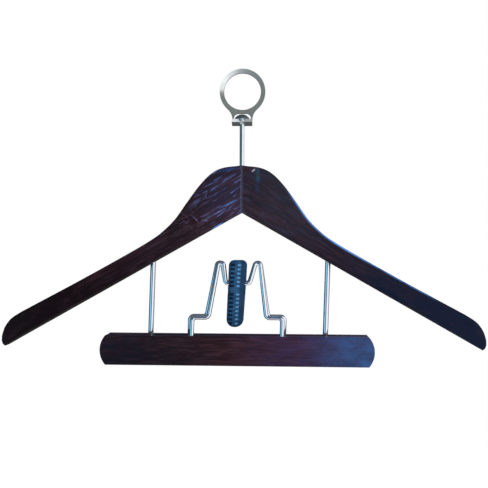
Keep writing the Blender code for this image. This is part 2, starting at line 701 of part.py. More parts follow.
def lever_depths(z):
    """Front and back of the lever beside its pivot: a bowed front, a back swelled at the hub."""
    middle = (LEVER_ABOVE - LEVER_BELOW) / 2
    half_length = (LEVER_ABOVE + LEVER_BELOW) / 2
    hub_front = -(2 * CROSS_FROM_JAW + CROSS_BORE + LEVER_FRONT_WALL)
    front = hub_front + LEVER_FRONT_BOW * ((z - middle) / half_length) ** 2
    hub_back = CROSS_BORE + LEVER_WALL
    end_back = hub_front + LEVER_FRONT_BOW + LEVER_END_DEPTH
    swell = math.exp(-(z / LEVER_HUB_REACH) ** 2)
    return front, end_back + (hub_back - end_back) * swell


def end_share(from_end, corner):
    """How far a quarter-round end has opened at a distance from the tip, from 0 to 1."""
    if from_end >= corner:
        return 1.0
    return math.sqrt(1 - (1 - from_end / corner) ** 2)


def lever_section(z):
    """Half width, middle and half depth of the lever at a height beside its pivot."""
    share = (LEVER_ABOVE - z) / (LEVER_ABOVE + LEVER_BELOW)
    half = LEVER_TOP_HALF + (LEVER_FOOT_HALF - LEVER_TOP_HALF) * share
    from_top = LEVER_ABOVE - z
    from_foot = z + LEVER_BELOW
    half -= LEVER_TOP_CORNER * (1 - end_share(from_top, LEVER_TOP_CORNER))
    half -= LEVER_FOOT_CORNER * (1 - end_share(from_foot, LEVER_FOOT_CORNER))
    front, back = lever_depths(z)
    slim = LEVER_END_ROUND * (1 - end_share(min(from_top, from_foot), LEVER_END_ROUND))
    return half, (front + back) / 2, (back - front) / 2 - slim


def lever_levels():
    """Heights of the lever's sections, close together where its ends are round."""
    bends = 1 - np.cos(np.linspace(0, math.pi / 2, LEVER_END_LEVELS + 1))
    top = LEVER_ABOVE - LEVER_TOP_CORNER * bends
    foot = -LEVER_BELOW + LEVER_FOOT_CORNER * bends
    middle = np.linspace(top[-1], foot[-1], LEVER_MID_LEVELS + 2)[1:-1]
    return np.concatenate([top, middle, foot[::-1]])


def crown_depth(across, deep):
    """How far the crowned front falls back towards the lever's sides, for shares of its section."""
    return LEVER_FRONT_CROWN * across ** 2 * (1 - deep) / 2


def lever_front(x, z):
    """Depth of the lever's crowned front surface at a place beside its pivot."""
    half, middle, half_depth = lever_section(z)
    across = min(abs(x) / half, 1)
    deep = -(1 - across ** LEVER_SECTION_POWER) ** (1 / LEVER_SECTION_POWER)
    return middle + half_depth * deep + crown_depth(across, deep)


def lever_x(z):
    """Middle of the lever at a height beside its pivot: it hangs a little out of square."""
    return lever_middle_x() + z * (CLAMP_LEAN_SHARE + math.tan(math.radians(LEVER_LEAN_DEG)))


def lever_middle_x():
    """Middle of the lever at its pivot."""
    return FRAME_OFFSET + CROSS_SLIDE + LEVER_SLIDE + lean_x(CROSS_Z)


def lever_body():
    """The lever's moulded body: super-elliptic sections lofted along its length."""
    angles = np.linspace(0, 2 * math.pi, LEVER_SIDES, endpoint=False)
    power = 2 / LEVER_SECTION_POWER
    across = np.sign(np.cos(angles)) * np.abs(np.cos(angles)) ** power
    deep = np.sign(np.sin(angles)) * np.abs(np.sin(angles)) ** power
    loops = []
    for z in lever_levels():
        half, middle, half_depth = lever_section(z)
        y = middle + half_depth * deep + crown_depth(across, deep)
        loops.append(np.stack([lever_x(z) + half * across, LEVER_POINT.y + y,
                               np.full(LEVER_SIDES, CROSS_Z + z)], axis=1))
    return lofted(loops)


def row_heights():
    """Heights of the rows of pockets beside the pivot, with one row left blank."""
    top = LEVER_ABOVE - FIRST_ROW_DROP
    foot = -LEVER_BELOW + LAST_ROW_RISE
    rows = np.linspace(top, foot, RIB_ROWS)
    return np.delete(rows, BLANK_ROW)


def pocket(side, z, tall):
    """Cutter for one pocket: its floor runs at POCKET_DEPTH below the crowned front."""
    half, _, _ = lever_section(z)
    rim = LEVER_TOP_HALF - SPINE_HALF - POCKET_WIDTH
    outer = min(SPINE_HALF + POCKET_WIDTH, half - rim)
    shape = bmesh.new()
    loops = []
    for x in GRIP_SLIDE + side * np.linspace(SPINE_HALF, outer, 4):
        floor = lever_front(x, z) + POCKET_DEPTH
        place = lever_x(z) + x
        face = lever_front(0, z) - CUT_OVERRUN
        corners = ((face, z - tall / 2), (floor, z - tall / 2), (floor, z + tall / 2), (face, z + tall / 2))
        loops.append([(place, LEVER_POINT.y + y, CROSS_Z + height) for y, height in corners])
    rows = add_loops(shape, loops)
    shape.faces.new(rows[0])
    shape.faces.new(rows[-1])
    bmesh.ops.recalc_face_normals(shape, faces=shape.faces)
    return shape


def across_lever(outline):
    """A prism through the whole lever from an outline beside its pivot."""
    reach = LEVER_TOP_HALF + CUT_OVERRUN
    loops = [[(lever_middle_x() + side * reach, LEVER_POINT.y + y, CROSS_Z + z) for y, z in outline]
             for side in (-1, 1)]
    return lofted(loops)


def make_lever(axis, material):
    """Cam lever: lofted body, pivot bore, spiral cam slot and two columns of grip pockets."""
    lever = add_piece("lock_lever", lever_body(), material, axis)
    bore = arc((0, 0), CROSS_BORE, 0, 2 * math.pi, TURN_SIDES + 1)[:-1]
    cam = slot_outline(cam_path(), CROSS_BORE)
    cut(lever, "lever_ways", merged([across_lever(bore), across_lever(cam)]))
    pitch = (LEVER_ABOVE + LEVER_BELOW - FIRST_ROW_DROP - LAST_ROW_RISE) / (RIB_ROWS - 1)
    tall = pitch - RIB_THICK
    pockets = [pocket(side, z, tall) for z in row_heights() for side in (-1, 1)]
    cut(lever, "lever_pockets", merged(pockets))


def build():
    """Make every piece and hang it from the axis of its joint."""
    clear_scene()
    wood = finish_material("lacquered_wood", (0.045, 0.016, 0.018), 0.32, 0.0)
    chrome = finish_material("chromed_wire", (0.80, 0.82, 0.85), 0.12, 1.0)
    nickel = finish_material("nickelled_steel", (0.42, 0.44, 0.43), 0.34, 1.0)
    pin_steel = finish_material("pin_steel", (0.62, 0.64, 0.65), 0.22, 1.0)
    bush_steel = finish_material("bush_steel", (0.50, 0.50, 0.48), 0.40, 1.0)
    beech = finish_material("dowel_beech", (0.62, 0.44, 0.26), 0.60, 0.0)
    felt = finish_material("jaw_felt", (0.030, 0.028, 0.034), 0.95, 0.0)
    plastic = finish_material("lever_plastic", (0.018, 0.050, 0.110), 0.38, 0.0)

    ring_axis = axis_empty("ring_centre", Vector((0, 0, 0)))
    pin_axis = axis_empty("pin_slide_axis", PIN_POINT)
    swivel_axis = axis_empty("swivel_axis", SWIVEL_POINT)
    jaw_axis = axis_empty("jaw_axis", JAW_POINT)
    lever_axis = axis_empty("lever_axis", LEVER_POINT)

    make_ring(ring_axis, nickel)
    make_pin(pin_axis, pin_steel)
    make_bush(swivel_axis, bush_steel)
    for name, side in (("left", -1), ("right", 1)):
        make_shoulder(name + "_shoulder", side, swivel_axis, wood)
        make_rod(name + "_rod", side, swivel_axis, chrome)
    make_dowels(swivel_axis, beech)
    jaw_materials = {"wood": wood, "felt": felt, "chrome": chrome}
    back_frame = frame_path(1, (0, 0, 0), FRAME_OFFSET - FRAME_STAGGER)
    front_insets = (FRONT_FOOT_INSET, FRONT_LEG_INSET, FRONT_ARCH_INSET)
    front_frame = frame_path(-1, front_insets, FRAME_OFFSET + FRAME_STAGGER)
    make_jaw("back", 1, back_frame, swivel_axis, jaw_materials)
    make_jaw("front", -1, front_frame, jaw_axis, jaw_materials)
    make_lever(lever_axis, plastic)


build()
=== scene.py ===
import json
from math import acos, asin, atan2, cos, pi, radians, sin, sqrt, tan

import bmesh
import bpy
import numpy as np
from mathutils import Matrix, Vector


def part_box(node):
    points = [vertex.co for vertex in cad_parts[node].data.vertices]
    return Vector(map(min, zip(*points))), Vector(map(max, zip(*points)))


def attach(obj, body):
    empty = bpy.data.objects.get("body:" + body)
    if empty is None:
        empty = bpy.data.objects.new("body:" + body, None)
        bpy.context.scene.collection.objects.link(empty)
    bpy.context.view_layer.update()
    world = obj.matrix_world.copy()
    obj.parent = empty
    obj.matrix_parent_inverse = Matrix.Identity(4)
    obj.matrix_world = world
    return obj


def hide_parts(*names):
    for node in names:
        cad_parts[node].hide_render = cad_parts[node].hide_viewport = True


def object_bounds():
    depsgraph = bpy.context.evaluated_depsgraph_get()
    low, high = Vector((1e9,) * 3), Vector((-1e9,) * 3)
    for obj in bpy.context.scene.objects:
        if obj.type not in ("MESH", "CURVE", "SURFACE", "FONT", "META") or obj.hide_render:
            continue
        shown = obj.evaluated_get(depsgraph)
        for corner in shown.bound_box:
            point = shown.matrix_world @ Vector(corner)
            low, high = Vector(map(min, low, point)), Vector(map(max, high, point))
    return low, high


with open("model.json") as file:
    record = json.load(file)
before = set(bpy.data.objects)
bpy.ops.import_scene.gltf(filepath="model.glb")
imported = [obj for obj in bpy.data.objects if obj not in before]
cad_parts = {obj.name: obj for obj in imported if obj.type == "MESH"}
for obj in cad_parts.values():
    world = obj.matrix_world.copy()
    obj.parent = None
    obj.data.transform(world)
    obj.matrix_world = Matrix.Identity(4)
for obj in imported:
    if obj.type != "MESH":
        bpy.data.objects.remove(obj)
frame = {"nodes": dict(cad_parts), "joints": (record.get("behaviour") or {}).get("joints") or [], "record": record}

cad_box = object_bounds()


def corners(node):
    """Lowest and highest corner of a node at rest, in metres."""
    return [np.array(corner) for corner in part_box(node)]


# Shared numbers, in metres
GAP = 0.0003
RUNNING_GAP = 0.0004
INSIDE = 0.012
RIGHT_TURN = pi / 2
FULL_TURN = 2 * pi
SMOOTH_DEG = 40
EDGE_PEAK = 2.6
INNER_LOOP_SHARE = 1.25

# Places read from the frame
ARM_LOW, ARM_HIGH = corners("right_shoulder")
RING_LOW, RING_HIGH = corners("rail_ring")
PIN_LOW, PIN_HIGH = corners("hook_pin")
BUSH_LOW, BUSH_HIGH = corners("pin_bush")
JOINT_PLACES = {joint["name"]: joint.get("pos_m") for joint in frame["joints"]}
MOUNTS = {mount["name"]: mount for mount in frame["record"]["mounts"]}

# Wooden arms
WOOD_TOP_Z = ARM_HIGH[2]
ARM_DROP = ARM_HIGH[2] - ARM_LOW[2]
ARM_EDGE_ROUND = 0.003
MITRE_HEIGHT = 0.0434
MITRE_EDGE_ROUND = 0.00035
TIP_EDGE_ROUND = 0.0012
TIP_ROUND_GROWTH = 0.12
JOINT_BAND = 0.0003
UPPER_EDGE_SHARES = (
    (0.0, 0.0), (0.076, 0.012), (0.126, 0.044), (0.175, 0.11), (0.225, 0.2),
    (0.275, 0.294), (0.324, 0.36), (0.374, 0.41), (0.474, 0.489), (0.674, 0.637),
    (0.872, 0.778), (0.928, 0.819), (0.964, 0.853), (0.988, 0.898), (0.999, 0.945),
)
TIP_CORNER_SHARES = ((0.999, 0.972), (0.994, 0.989), (0.984, 1.0))
ARM_SPAN = ARM_HIGH[0] / UPPER_EDGE_SHARES[-1][0]
ARM_SLOPE = atan2(ARM_DROP - MITRE_HEIGHT, ARM_SPAN * TIP_CORNER_SHARES[-1][0])
WOOD_WANDER = 0.01
MARK_CORE = 0.15

# Clamp bars and felt
BAR_TOP_Z = corners("back_bar")[1][2]
BAR_EDGE_ROUND = 0.0014
BAR_END_BULGE = 0.005
FELT_EDGE_ROUND = 0.0003
FELT_CORNER = 0.002
FELT_WAVE = 0.00008

# Wire
WIRE_RADIUS = 0.0021
ROD_RADIUS = 0.0025
TUBE_END_ROUND = 0.0004
FRAME_OFFSET = -0.0006
FRAME_STAGGER = 0.0003
CROSS_HALF = 0.0109
CROSS_BEND = 0.0028
CROSS_SLIDE = -0.0008
CROSS_DROP = 0.0185
STEP_HEIGHT = 0.0165
BACK_FOOT_HALF = 0.0437
BACK_LEG_HALF = 0.0284
BACK_ARCH_HALF = 0.0176
FRONT_INSETS = (0.0026, 0.002, 0.0008)
ARCH_RADIUS = 0.0026
WIRE_BEND = 0.0036
JAW_Y, ARCH_Z = JOINT_PLACES["jaw_open"][1:]
LEVER_Y, CROSS_Z = JOINT_PLACES["lever_flip"][1:]
ARCH_FROM_JAW = WIRE_RADIUS + GAP / 2
FRAME_SLOPE = (LEVER_Y - JAW_Y - ARCH_FROM_JAW) / CROSS_DROP
CLAMP_LEAN_SHARE = 0.0297

# Lock lever
LEVER_SLIDE = -0.0004
LEVER_ABOVE = 0.0212
LEVER_BELOW = 0.0401
LEVER_TOP_HALF = 0.0084
LEVER_FOOT_HALF = 0.0077
LEVER_TOP_CORNER = 0.005
LEVER_FOOT_CORNER = 0.0072
LEVER_END_ROUND = 0.003
LEVER_WALL = 0.0026
LEVER_FRONT_WALL = 0.0032
LEVER_FRONT_CROWN = 0.001
LEVER_FRONT_BOW = 0.0022
LEVER_END_DEPTH = 0.0085
LEVER_HUB_REACH = 0.017
LEVER_LEAN_DEG = 1.1
LEVER_SWING_DEG = 80
JAW_SWING_DEG = 15
RIB_ROWS = 15
BLANK_ROW = 6
FIRST_ROW_DROP = 0.0046
LAST_ROW_RISE = 0.0036
RIB_THICK = 0.0018
GRIP_SLIDE = -0.0012
SPINE_HALF = 0.0012
POCKET_WIDTH = 0.0034
POCKET_DEPTH = 0.0011
POCKET_SLANT = 0.0005
POCKET_WALL = 0.0003
POCKET_OUTER = SPINE_HALF + POCKET_WIDTH
RIM_SHARE = 0.93
RIM_SOFTNESS = 0.06
CROSS_FROM_JAW = LEVER_Y - JAW_Y
CROSS_BORE = WIRE_RADIUS + RUNNING_GAP

# Rail ring
RING_RADIUS = RING_HIGH[0]
RING_HOLE_RADIUS = MOUNTS["rail_ring_hole"]["dims"]["r_mm"] / 1000
PLATE_THICK = 2 * RING_HIGH[1]
PLATE_EDGE_ROUND = 0.0003
NECK_FILLET = 0.014
NECK_WEB = 0.0034
TAIL_HALF = 0.0093
WINDOW_HALF = 0.0079
WINDOW_CORNER = 0.0042
WINDOW_FOOT_DEG = 13.5
FOLD_RADIUS = 0.003
FOLD_Z = RING_LOW[2] + FOLD_RADIUS + PLATE_THICK / 2

# Pin
PIN_RADIUS = 0.0022
PIN_HEAD_HEIGHT = 0.0047
PIN_HEAD_RIM = 0.0007
PIN_HEAD_ROUND = 0.0003
PIN_FLANGE_RADIUS = 0.0035
PIN_FLANGE_THICK = 0.002
PIN_Y = (PIN_LOW[1] + PIN_HIGH[1]) / 2
PIN_HEAD_RADIUS = (PIN_HIGH[0] - PIN_LOW[0]) / 2
PIN_UNDER_HEAD_Z = PIN_HIGH[2] - PIN_HEAD_HEIGHT


def arithmetic(operation, swapped=False):
    """A method for an operator: it adds one Math node, its two sides swapped if need be."""
    def method(self, other):
        return self.math(operation, *((other, self) if swapped else (self, other)))
    return method


class Wire:
    """One output of a tree of shader nodes. Arithmetic on it adds Math nodes."""

    def __init__(self, nodes, socket):
        self.nodes = nodes
        self.socket = socket

    def math(self, operation, *values):
        return self.nodes.add("Math", {"operation": operation}, dict(enumerate(values)))

    __add__ = __radd__ = arithmetic("ADD")
    __mul__ = __rmul__ = arithmetic("MULTIPLY")
    __sub__ = arithmetic("SUBTRACT")
    __rsub__ = arithmetic("SUBTRACT", swapped=True)
    __truediv__ = arithmetic("DIVIDE")
    __rtruediv__ = arithmetic("DIVIDE", swapped=True)
    __pow__ = arithmetic("POWER")

    def size(self):
        return self.math("ABSOLUTE", self)

    def smooth(self, low, high):
        """0 below low, 1 above high, and an S-shaped rise between them."""
        return self.nodes.add("MapRange", {"interpolation_type": "SMOOTHSTEP"}, {0: self, 1: low, 2: high})


class Nodes:
    """A tree of shader nodes, each made by add()."""

    def __init__(self, tree):
        self.tree = tree

    def put(self, socket, value):
        """Link or set one socket. Colours come without their alpha."""
        if isinstance(value, Wire):
            self.tree.links.new(value.socket, socket)
        else:
            socket.default_value = (*value, 1.0) if socket.type == "RGBA" else value

    def add(self, kind, settings=None, sockets=None, output=0):
        """Any node: its type, its settings (a ramp's stops among them), then its sockets."""
        node = self.tree.nodes.new("ShaderNode" + kind)
        for name, value in (settings or {}).items():
            if name == "stops":
                fill_ramp(node.color_ramp, value)
            else:
                setattr(node, name, value)
        for name, value in (sockets or {}).items():
            self.put(node.inputs[name], value)
        return Wire(self, node.outputs[output])

    def seen(self):
        """1 for what the camera sees straight, in gloss or through glass, 0 for other light."""
        camera, gloss, glass = (self.add("LightPath", output=f"Is {kind} Ray")
                                for kind in ("Camera", "Glossy", "Transmission"))
        return camera.math("MAXIMUM", camera.math("MAXIMUM", camera, gloss), glass)

    def show(self, shader, output="Material Output"):
        self.put(self.tree.nodes[output].inputs["Surface"], shader)


class Finish(Nodes):
    """A material. Values for its main shader are named with _ for a space."""

    def __init__(self, name, **constants):
        self.material = bpy.data.materials.new(name)
        self.material.use_nodes = True
        super().__init__(self.material.node_tree)
        self.shader = self.tree.nodes["Principled BSDF"]
        self.set(**constants)

    def set(self, **values):
        for name, value in values.items():
            self.put(self.shader.inputs[name.replace("_", " ")], value)

    def done(self, colour, roughness, height, distance, strength, **values):
        """Give the main shader its colour, roughness and bump, and hand over the material."""
        normal = self.add("Bump", {}, {"Height": height, "Distance": distance, "Strength": strength})
        self.set(Base_Color=colour, Roughness=roughness, Normal=normal, **values)
        return self.material

    def here(self):
        return self.add("TexCoord", output="Object")

    def axes(self):
        """X, Y and Z of the Object coordinates."""
        parts = self.add("SeparateXYZ", {}, {"Vector": self.here()})
        return [Wire(self, socket) for socket in parts.socket.node.outputs]

    def attribute(self, name):
        return self.add("Attribute", {"attribute_name": name}, output="Fac")

    def mapped(self, vector, **sockets):
        return self.add("Mapping", {"vector_type": "POINT"}, {"Vector": vector, **sockets})

    def places(self, turn, stretch, shift):
        """Object coordinates, turned about Y and stretched along the turned axes."""
        return self.mapped(self.mapped(self.here(), Rotation=(0, turn, 0), Location=shift), Scale=stretch)

    def noise(self, vector, detail=3.0, roughness=0.5, distortion=0.0):
        return self.add("TexNoise", {}, {"Vector": vector, "Scale": 1.0, "Detail": detail,
                                         "Roughness": roughness, "Distortion": distortion})

    def cloud(self, stretch, **kind):
        """Noise on Object coordinates, stretched by one number or by three."""
        stretch = stretch if isinstance(stretch, tuple) else (stretch,) * 3
        return self.noise(self.mapped(self.here(), Scale=stretch), **kind)

    def drawn(self, stretch):
        """Draw lines along a wire, on the UV map that runs along it."""
        return self.noise(self.mapped(self.add("UVMap", {"uv_map": "run"}), Scale=stretch), detail=2.0)

    def blend(self, share, low, high):
        """Two colours mixed by a share."""
        return self.add("Mix", {"data_type": "RGBA"}, {0: share, 6: low, 7: high}, output=2)

    def ramp(self, share, *stops):
        return self.add("ValToRGB", {"stops": stops}, {"Fac": share})


def fill_ramp(ramp, stops):
    """Set a colour ramp's stops from pairs of position and colour."""
    while len(ramp.elements) > 1:
        ramp.elements.remove(ramp.elements[-1])
    for k, (position, colour) in enumerate(stops):
        stop = ramp.elements[0] if k == 0 else ramp.elements.new(position)
        stop.position = position
        stop.color = (*colour, 1.0)


def lacquered_wood(name, turn, shift, front=0.0, sheen_streaks=(), tone_and_sheen_clouds=(), veins=(), edge_highlights_and_chips=(), sheen_and_scuff_marks=()):
    """Dark maroon stain under lacquer: long figure, fibres and open pores along the turned X axis.

    Marks on the front face: streak marks of painted sheen lie in the grain; mottled cloud marks are painted bluish
    sheen in places and darker tone in others; veins are wandering lines; the edges carry painted highlights and a
    few chip marks; long thin marks are mostly painted sheen and highlight, a few of them scuff marks.
    """
    wood = Finish(name, IOR=1.5, Specular_IOR_Level=0.07, Coat_IOR=1.5, Coat_Roughness=0.1)
    here = wood.here()

    def straight(stretch, **kind):
        return wood.noise(wood.places(turn, stretch, shift), **kind)

    def along(stretch, **kind):
        stretched = wood.add("VectorMath", {"operation": "MULTIPLY"}, {0: grain, 1: stretch})
        return wood.noise(stretched, **kind)

    def place(x, z):
        return x / 1000, front, z / 1000

    def near(x, z, reach):
        """1 close to a place on the front face, falling to 0 at its reach."""
        away = wood.add("VectorMath", {"operation": "DISTANCE"}, {0: here, 1: place(x, z)}, "Value")
        return 1 - away.smooth(reach * MARK_CORE / 1000, reach / 1000)

    def vein():
        middle = straight((70, 70, 70), detail=2.0, distortion=0.4) - 0.5
        return 1 - middle.size().smooth(0.004, 0.018)

    push = (straight((14, 30, 30), detail=2.0) - 0.5) * WOOD_WANDER
    wave = wood.add("CombineXYZ", {}, {"X": 0.0, "Y": push, "Z": push})
    grain = wood.add("VectorMath", {"operation": "ADD"}, {0: wood.places(turn, (1, 1, 1), shift), 1: wave})
    fibres = along((45, 1000, 700), roughness=0.6)
    pore_mask = along((55, 1150, 900), detail=2.0, roughness=0.55).smooth(0.6, 0.68)
    streak_mask = along((60, 640, 560), roughness=0.55).smooth(0.54, 0.66)
    wear_and_sheen_noise = straight((60, 130, 130), detail=4.0, roughness=0.65)
    patches = 0.3 + wear_and_sheen_noise.smooth(0.4, 0.62) * 0.7
    stain = wood.ramp(along((7, 75, 60)), (0.3, (0.0085, 0.0036, 0.0056)), (0.46, (0.019, 0.0072, 0.0104)),
                      (0.58, (0.03, 0.01, 0.013)), (0.74, (0.041, 0.0135, 0.014)))
    stain = wood.blend(fibres.smooth(0.42, 0.66) * 0.62, stain, (0.0075, 0.004, 0.006))
    stain = wood.blend((1 - fibres.smooth(0.36, 0.5)) * 0.35, stain, (0.058, 0.03, 0.05))
    stain = wood.blend(pore_mask * 0.5, stain, (0.005, 0.0028, 0.0038))
    # Streak marks are painted sheen in the grain; cloud marks are painted bluish sheen in places and darker tone
    # in others; veins are wandering lines.
    for marks, pattern in ((sheen_streaks, lambda: 0.05 + 0.95 * streak_mask * patches),
                           (tone_and_sheen_clouds, lambda: 0.5 + wear_and_sheen_noise.smooth(0.35, 0.7) * 0.5),
                           (veins, vein)):
        for x, z, reach, strength, tint in marks:
            stain = wood.blend(near(x, z, reach) * pattern() * strength, stain, tint)
    edge = wood.attribute("edge")
    worn = edge.smooth(0.35, 0.95) * wear_and_sheen_noise.smooth(0.66, 0.72)
    colour = wood.blend(worn * 0.4, stain, (0.16, 0.18, 0.26))
    # Painted highlights on the rounded edges, with a few pale chip marks.
    for x, z, reach, strength, tint in edge_highlights_and_chips:
        colour = wood.blend(near(x, z, reach) * edge.smooth(0.35, 0.9) * strength, colour, tint)
    # Long thin marks: mostly painted sheen and highlight, a few of them scuff marks.
    for x, z, half_length, half_width, tilt_deg, strength, tint in sheen_and_scuff_marks:
        size = np.array((half_length, half_length, half_width)) / 1000
        tilt = (0, radians(tilt_deg), 0)
        spot = wood.add("Mapping", {"vector_type": "TEXTURE"},
                        {"Vector": here, "Location": place(x, z), "Rotation": tilt, "Scale": size})
        away = wood.add("VectorMath", {"operation": "LENGTH"}, {0: spot}, "Value")
        share = (1 - away.smooth(0.4, 1.0)) * (0.35 + wear_and_sheen_noise.smooth(0.35, 0.55) * 0.65) * strength
        colour = wood.blend(share, colour, tint)
    colour = wood.blend(wood.attribute("joint") * 0.75, colour, (0.085, 0.09, 0.15))
    ripple = straight((30, 160, 90), detail=2.0)
    height = ripple * 0.5 - pore_mask * 0.35 - streak_mask * 0.25 - fibres * 0.12
    return wood.done(colour, 0.36 + wear_and_sheen_noise * 0.12 + worn * 0.2, height, 0.00018, 0.5,
                     Coat_Weight=0.09 - streak_mask * 0.03 - worn * 0.05)


def chromed_wire():
    """Bright plate on drawn wire: faint draw lines along the wire and a few soft stains."""
    finish = Finish("chromed_wire", Metallic=1.0)
    drawn = finish.drawn((40, 30, 1))
    cloud = finish.cloud(70)
    colour = finish.ramp(cloud, (0.3, (0.873, 0.882, 0.891)), (0.7, (0.97, 0.98, 0.99)))
    return finish.done(colour, 0.07 + drawn * 0.015 + cloud.smooth(0.5, 0.8) * 0.04, drawn, 0.000003, 0.3)


def nickelled_plate():
    """Bright nickel on the stamped ring, faintly grained round the hole and clouded by handling."""
    finish = Finish("nickelled_steel", Metallic=1.0)
    x, y, z = finish.axes()
    rings = finish.add("CombineXYZ", {}, {"X": (x * x + z * z) ** 0.5 * 2600, "Y": y * 800,
                                          "Z": x.math("ARCTAN2", z, x) * 2.5})
    brushed = finish.noise(rings, detail=2.0)
    cloud = finish.cloud(220, detail=4.0, roughness=0.6)
    colour = finish.ramp(cloud, (0.35, (0.8, 0.83, 0.82)), (0.65, (0.92, 0.95, 0.94)))
    colour = finish.blend(brushed.smooth(0.45, 0.65) * 0.2, colour, (0.62, 0.66, 0.65))
    return finish.done(colour, 0.02 + brushed * 0.03 + cloud * 0.02, brushed, 0.000004, 0.3)


def pin_plate():
    """Drawn zinc-plated pin: bright along the shaft; the head is rougher and painted a darker grey as shade."""
    finish = Finish("pin_steel", Metallic=1.0)
    head = finish.axes()[2].smooth(PIN_UNDER_HEAD_Z - GAP, PIN_UNDER_HEAD_Z + GAP)
    drawn = finish.drawn((40, 6, 1))
    colour = finish.ramp(finish.cloud(300), (0.3, (0.82, 0.85, 0.86)), (0.7, (0.9, 0.93, 0.94)))
    # Painted shade: the head is darkened to grey.
    colour = finish.blend(head, colour, (0.34, 0.36, 0.34))
    return finish.done(colour, 0.06 + head * 0.42 + drawn * 0.015, drawn, 0.000003, 0.3)


def turned_steel():
    """Turned steel of the bush, with fine rings about the vertical axis."""
    finish = Finish("bush_steel", Metallic=1.0)
    rings = finish.cloud((120, 120, 2600), detail=2.0)
    colour = finish.ramp(finish.cloud((200, 200, 90)), (0.3, (0.44, 0.44, 0.4224)), (0.7, (0.5, 0.5, 0.48)))
    return finish.done(colour, 0.35 + rings * 0.08, rings, 0.00003, 0.4)


def dowel_beech():
    """Raw beech with fine flecks along X."""
    finish = Finish("dowel_beech")
    flecks = finish.cloud((300, 1600, 1600), detail=2.0)
    figure = finish.cloud((30, 400, 400), detail=2.0)
    colour = finish.ramp(figure, (0.3, (0.5, 0.34, 0.19)), (0.7, (0.66, 0.47, 0.28)))
    colour = finish.blend(flecks.smooth(0.58, 0.68) * 0.5, colour, (0.36, 0.21, 0.1))
    return finish.done(colour, 0.6 + figure * 0.1, flecks, 0.00005, 0.5)


def jaw_felt():
    """Short dark felt: tangled fibres and a little lint."""
    finish = Finish("jaw_felt", Sheen_Weight=0.35, Sheen_Roughness=0.5)
    tangle = finish.cloud(1500, detail=4.0, roughness=0.7, distortion=0.6)
    colour = finish.ramp(tangle, (0.3, (0.012, 0.011, 0.014)), (0.7, (0.045, 0.042, 0.05)))
    colour = finish.blend(finish.cloud(90).smooth(0.5, 0.8) * 0.3, colour, (0.07, 0.065, 0.075))
    return finish.done(colour, 0.9 + tangle * 0.08, tangle, 0.0003, 0.8)


def lever_plastic():
    """Blue moulded plastic: fine spark-eroded grain, painted shade on the front's margins, painted shade in one
    column of pockets and a painted highlight in the other."""
    finish = Finish("lever_plastic", IOR=1.5, Specular_IOR_Level=0.15)
    pocket = finish.attribute("pocket")
    grain = finish.cloud(2600, detail=2.0, roughness=0.6)
    cloud = finish.cloud(140)
    colour = finish.ramp(cloud, (0.3, (0.006, 0.034, 0.085)), (0.5, (0.012, 0.058, 0.132)),
                         (0.7, (0.022, 0.085, 0.18)))
    # Painted shade on the front's flanks, where the crowned face turns away.
    colour = finish.blend(finish.attribute("margin") * 0.7, colour, (0.003, 0.018, 0.048))
    # Painted shade: the left column of pockets is darkened.
    colour = finish.blend((pocket * -1.0).smooth(0.2, 0.8) * 0.9, colour, (0.003, 0.008, 0.03))
    # Painted highlight: the right column of pockets is lit bright blue, mottled.
    colour = finish.blend(pocket.smooth(0.6, 1.0) * (0.25 + cloud * 0.9), colour, (0.15, 0.42, 0.72))
    rubbed = (1 - pocket.size()) * grain.smooth(0.55, 0.75)
    colour = finish.blend(rubbed * 0.2, colour, (0.04, 0.12, 0.24))
    return finish.done(colour, 0.42 - pocket.size() * 0.16 + grain * 0.1, grain, 0.00004, 0.5)


def placed(name, data):
    """A new object in the scene."""
    item = bpy.data.objects.new(name, data)
    bpy.context.scene.collection.objects.link(item)
    return item


def surface(name, rows, smooth_deg=SMOOTH_DEG, around=True, capped=True, **values):
    """A piece from rows of points: quads between the rows, and a flat face through each end row.

    Around closes every row on itself. Values are attributes of the rows' points. Seams are welded,
    faces turned outwards and shaded smooth up to an angle."""
    count, columns = rows.shape[:2]
    index = np.arange(count * columns).reshape(count, columns)
    if around:
        index = np.column_stack([index, index[:, :1]])
    quads = np.stack([index[:-1, :-1], index[:-1, 1:], index[1:, 1:], index[1:, :-1]], axis=-1)
    faces = quads.reshape(-1, 4).tolist()
    points = rows.reshape(-1, 3)
    if capped:
        faces += (len(points) + np.arange(2 * columns).reshape(2, columns)).tolist()
        points = np.vstack([points, rows[0], rows[-1]])
    mesh = bpy.data.meshes.new(name)
    mesh.from_pydata(points.tolist(), [], faces)
    for attribute, value in values.items():
        layer = mesh.attributes.new(attribute, "FLOAT", "POINT")
        held = np.zeros(len(points), dtype=np.float32)
        held[:count * columns] = value
        layer.data.foreach_set("value", held)
    shape = bmesh.new()
    shape.from_mesh(mesh)
    bmesh.ops.remove_doubles(shape, verts=shape.verts, dist=GAP / 100)
    bmesh.ops.recalc_face_normals(shape, faces=shape.faces)
    shape.to_mesh(mesh)
    shape.free()
    mesh.shade_smooth()
    mesh.set_sharp_from_angle(angle=radians(smooth_deg))
    return placed(name, mesh)


def unit(steps):
    """Each step divided by its length."""
    return steps / np.linalg.norm(steps, axis=-1, keepdims=True)


def arc(centre, radius, start, end, count):
    """Points of a flat arc: the centre plus the radius along each of evenly spread angles."""
    angles = np.linspace(start, end, count)
    return np.stack([centre[0] + radius * np.cos(angles), centre[1] + radius * np.sin(angles)], axis=1)


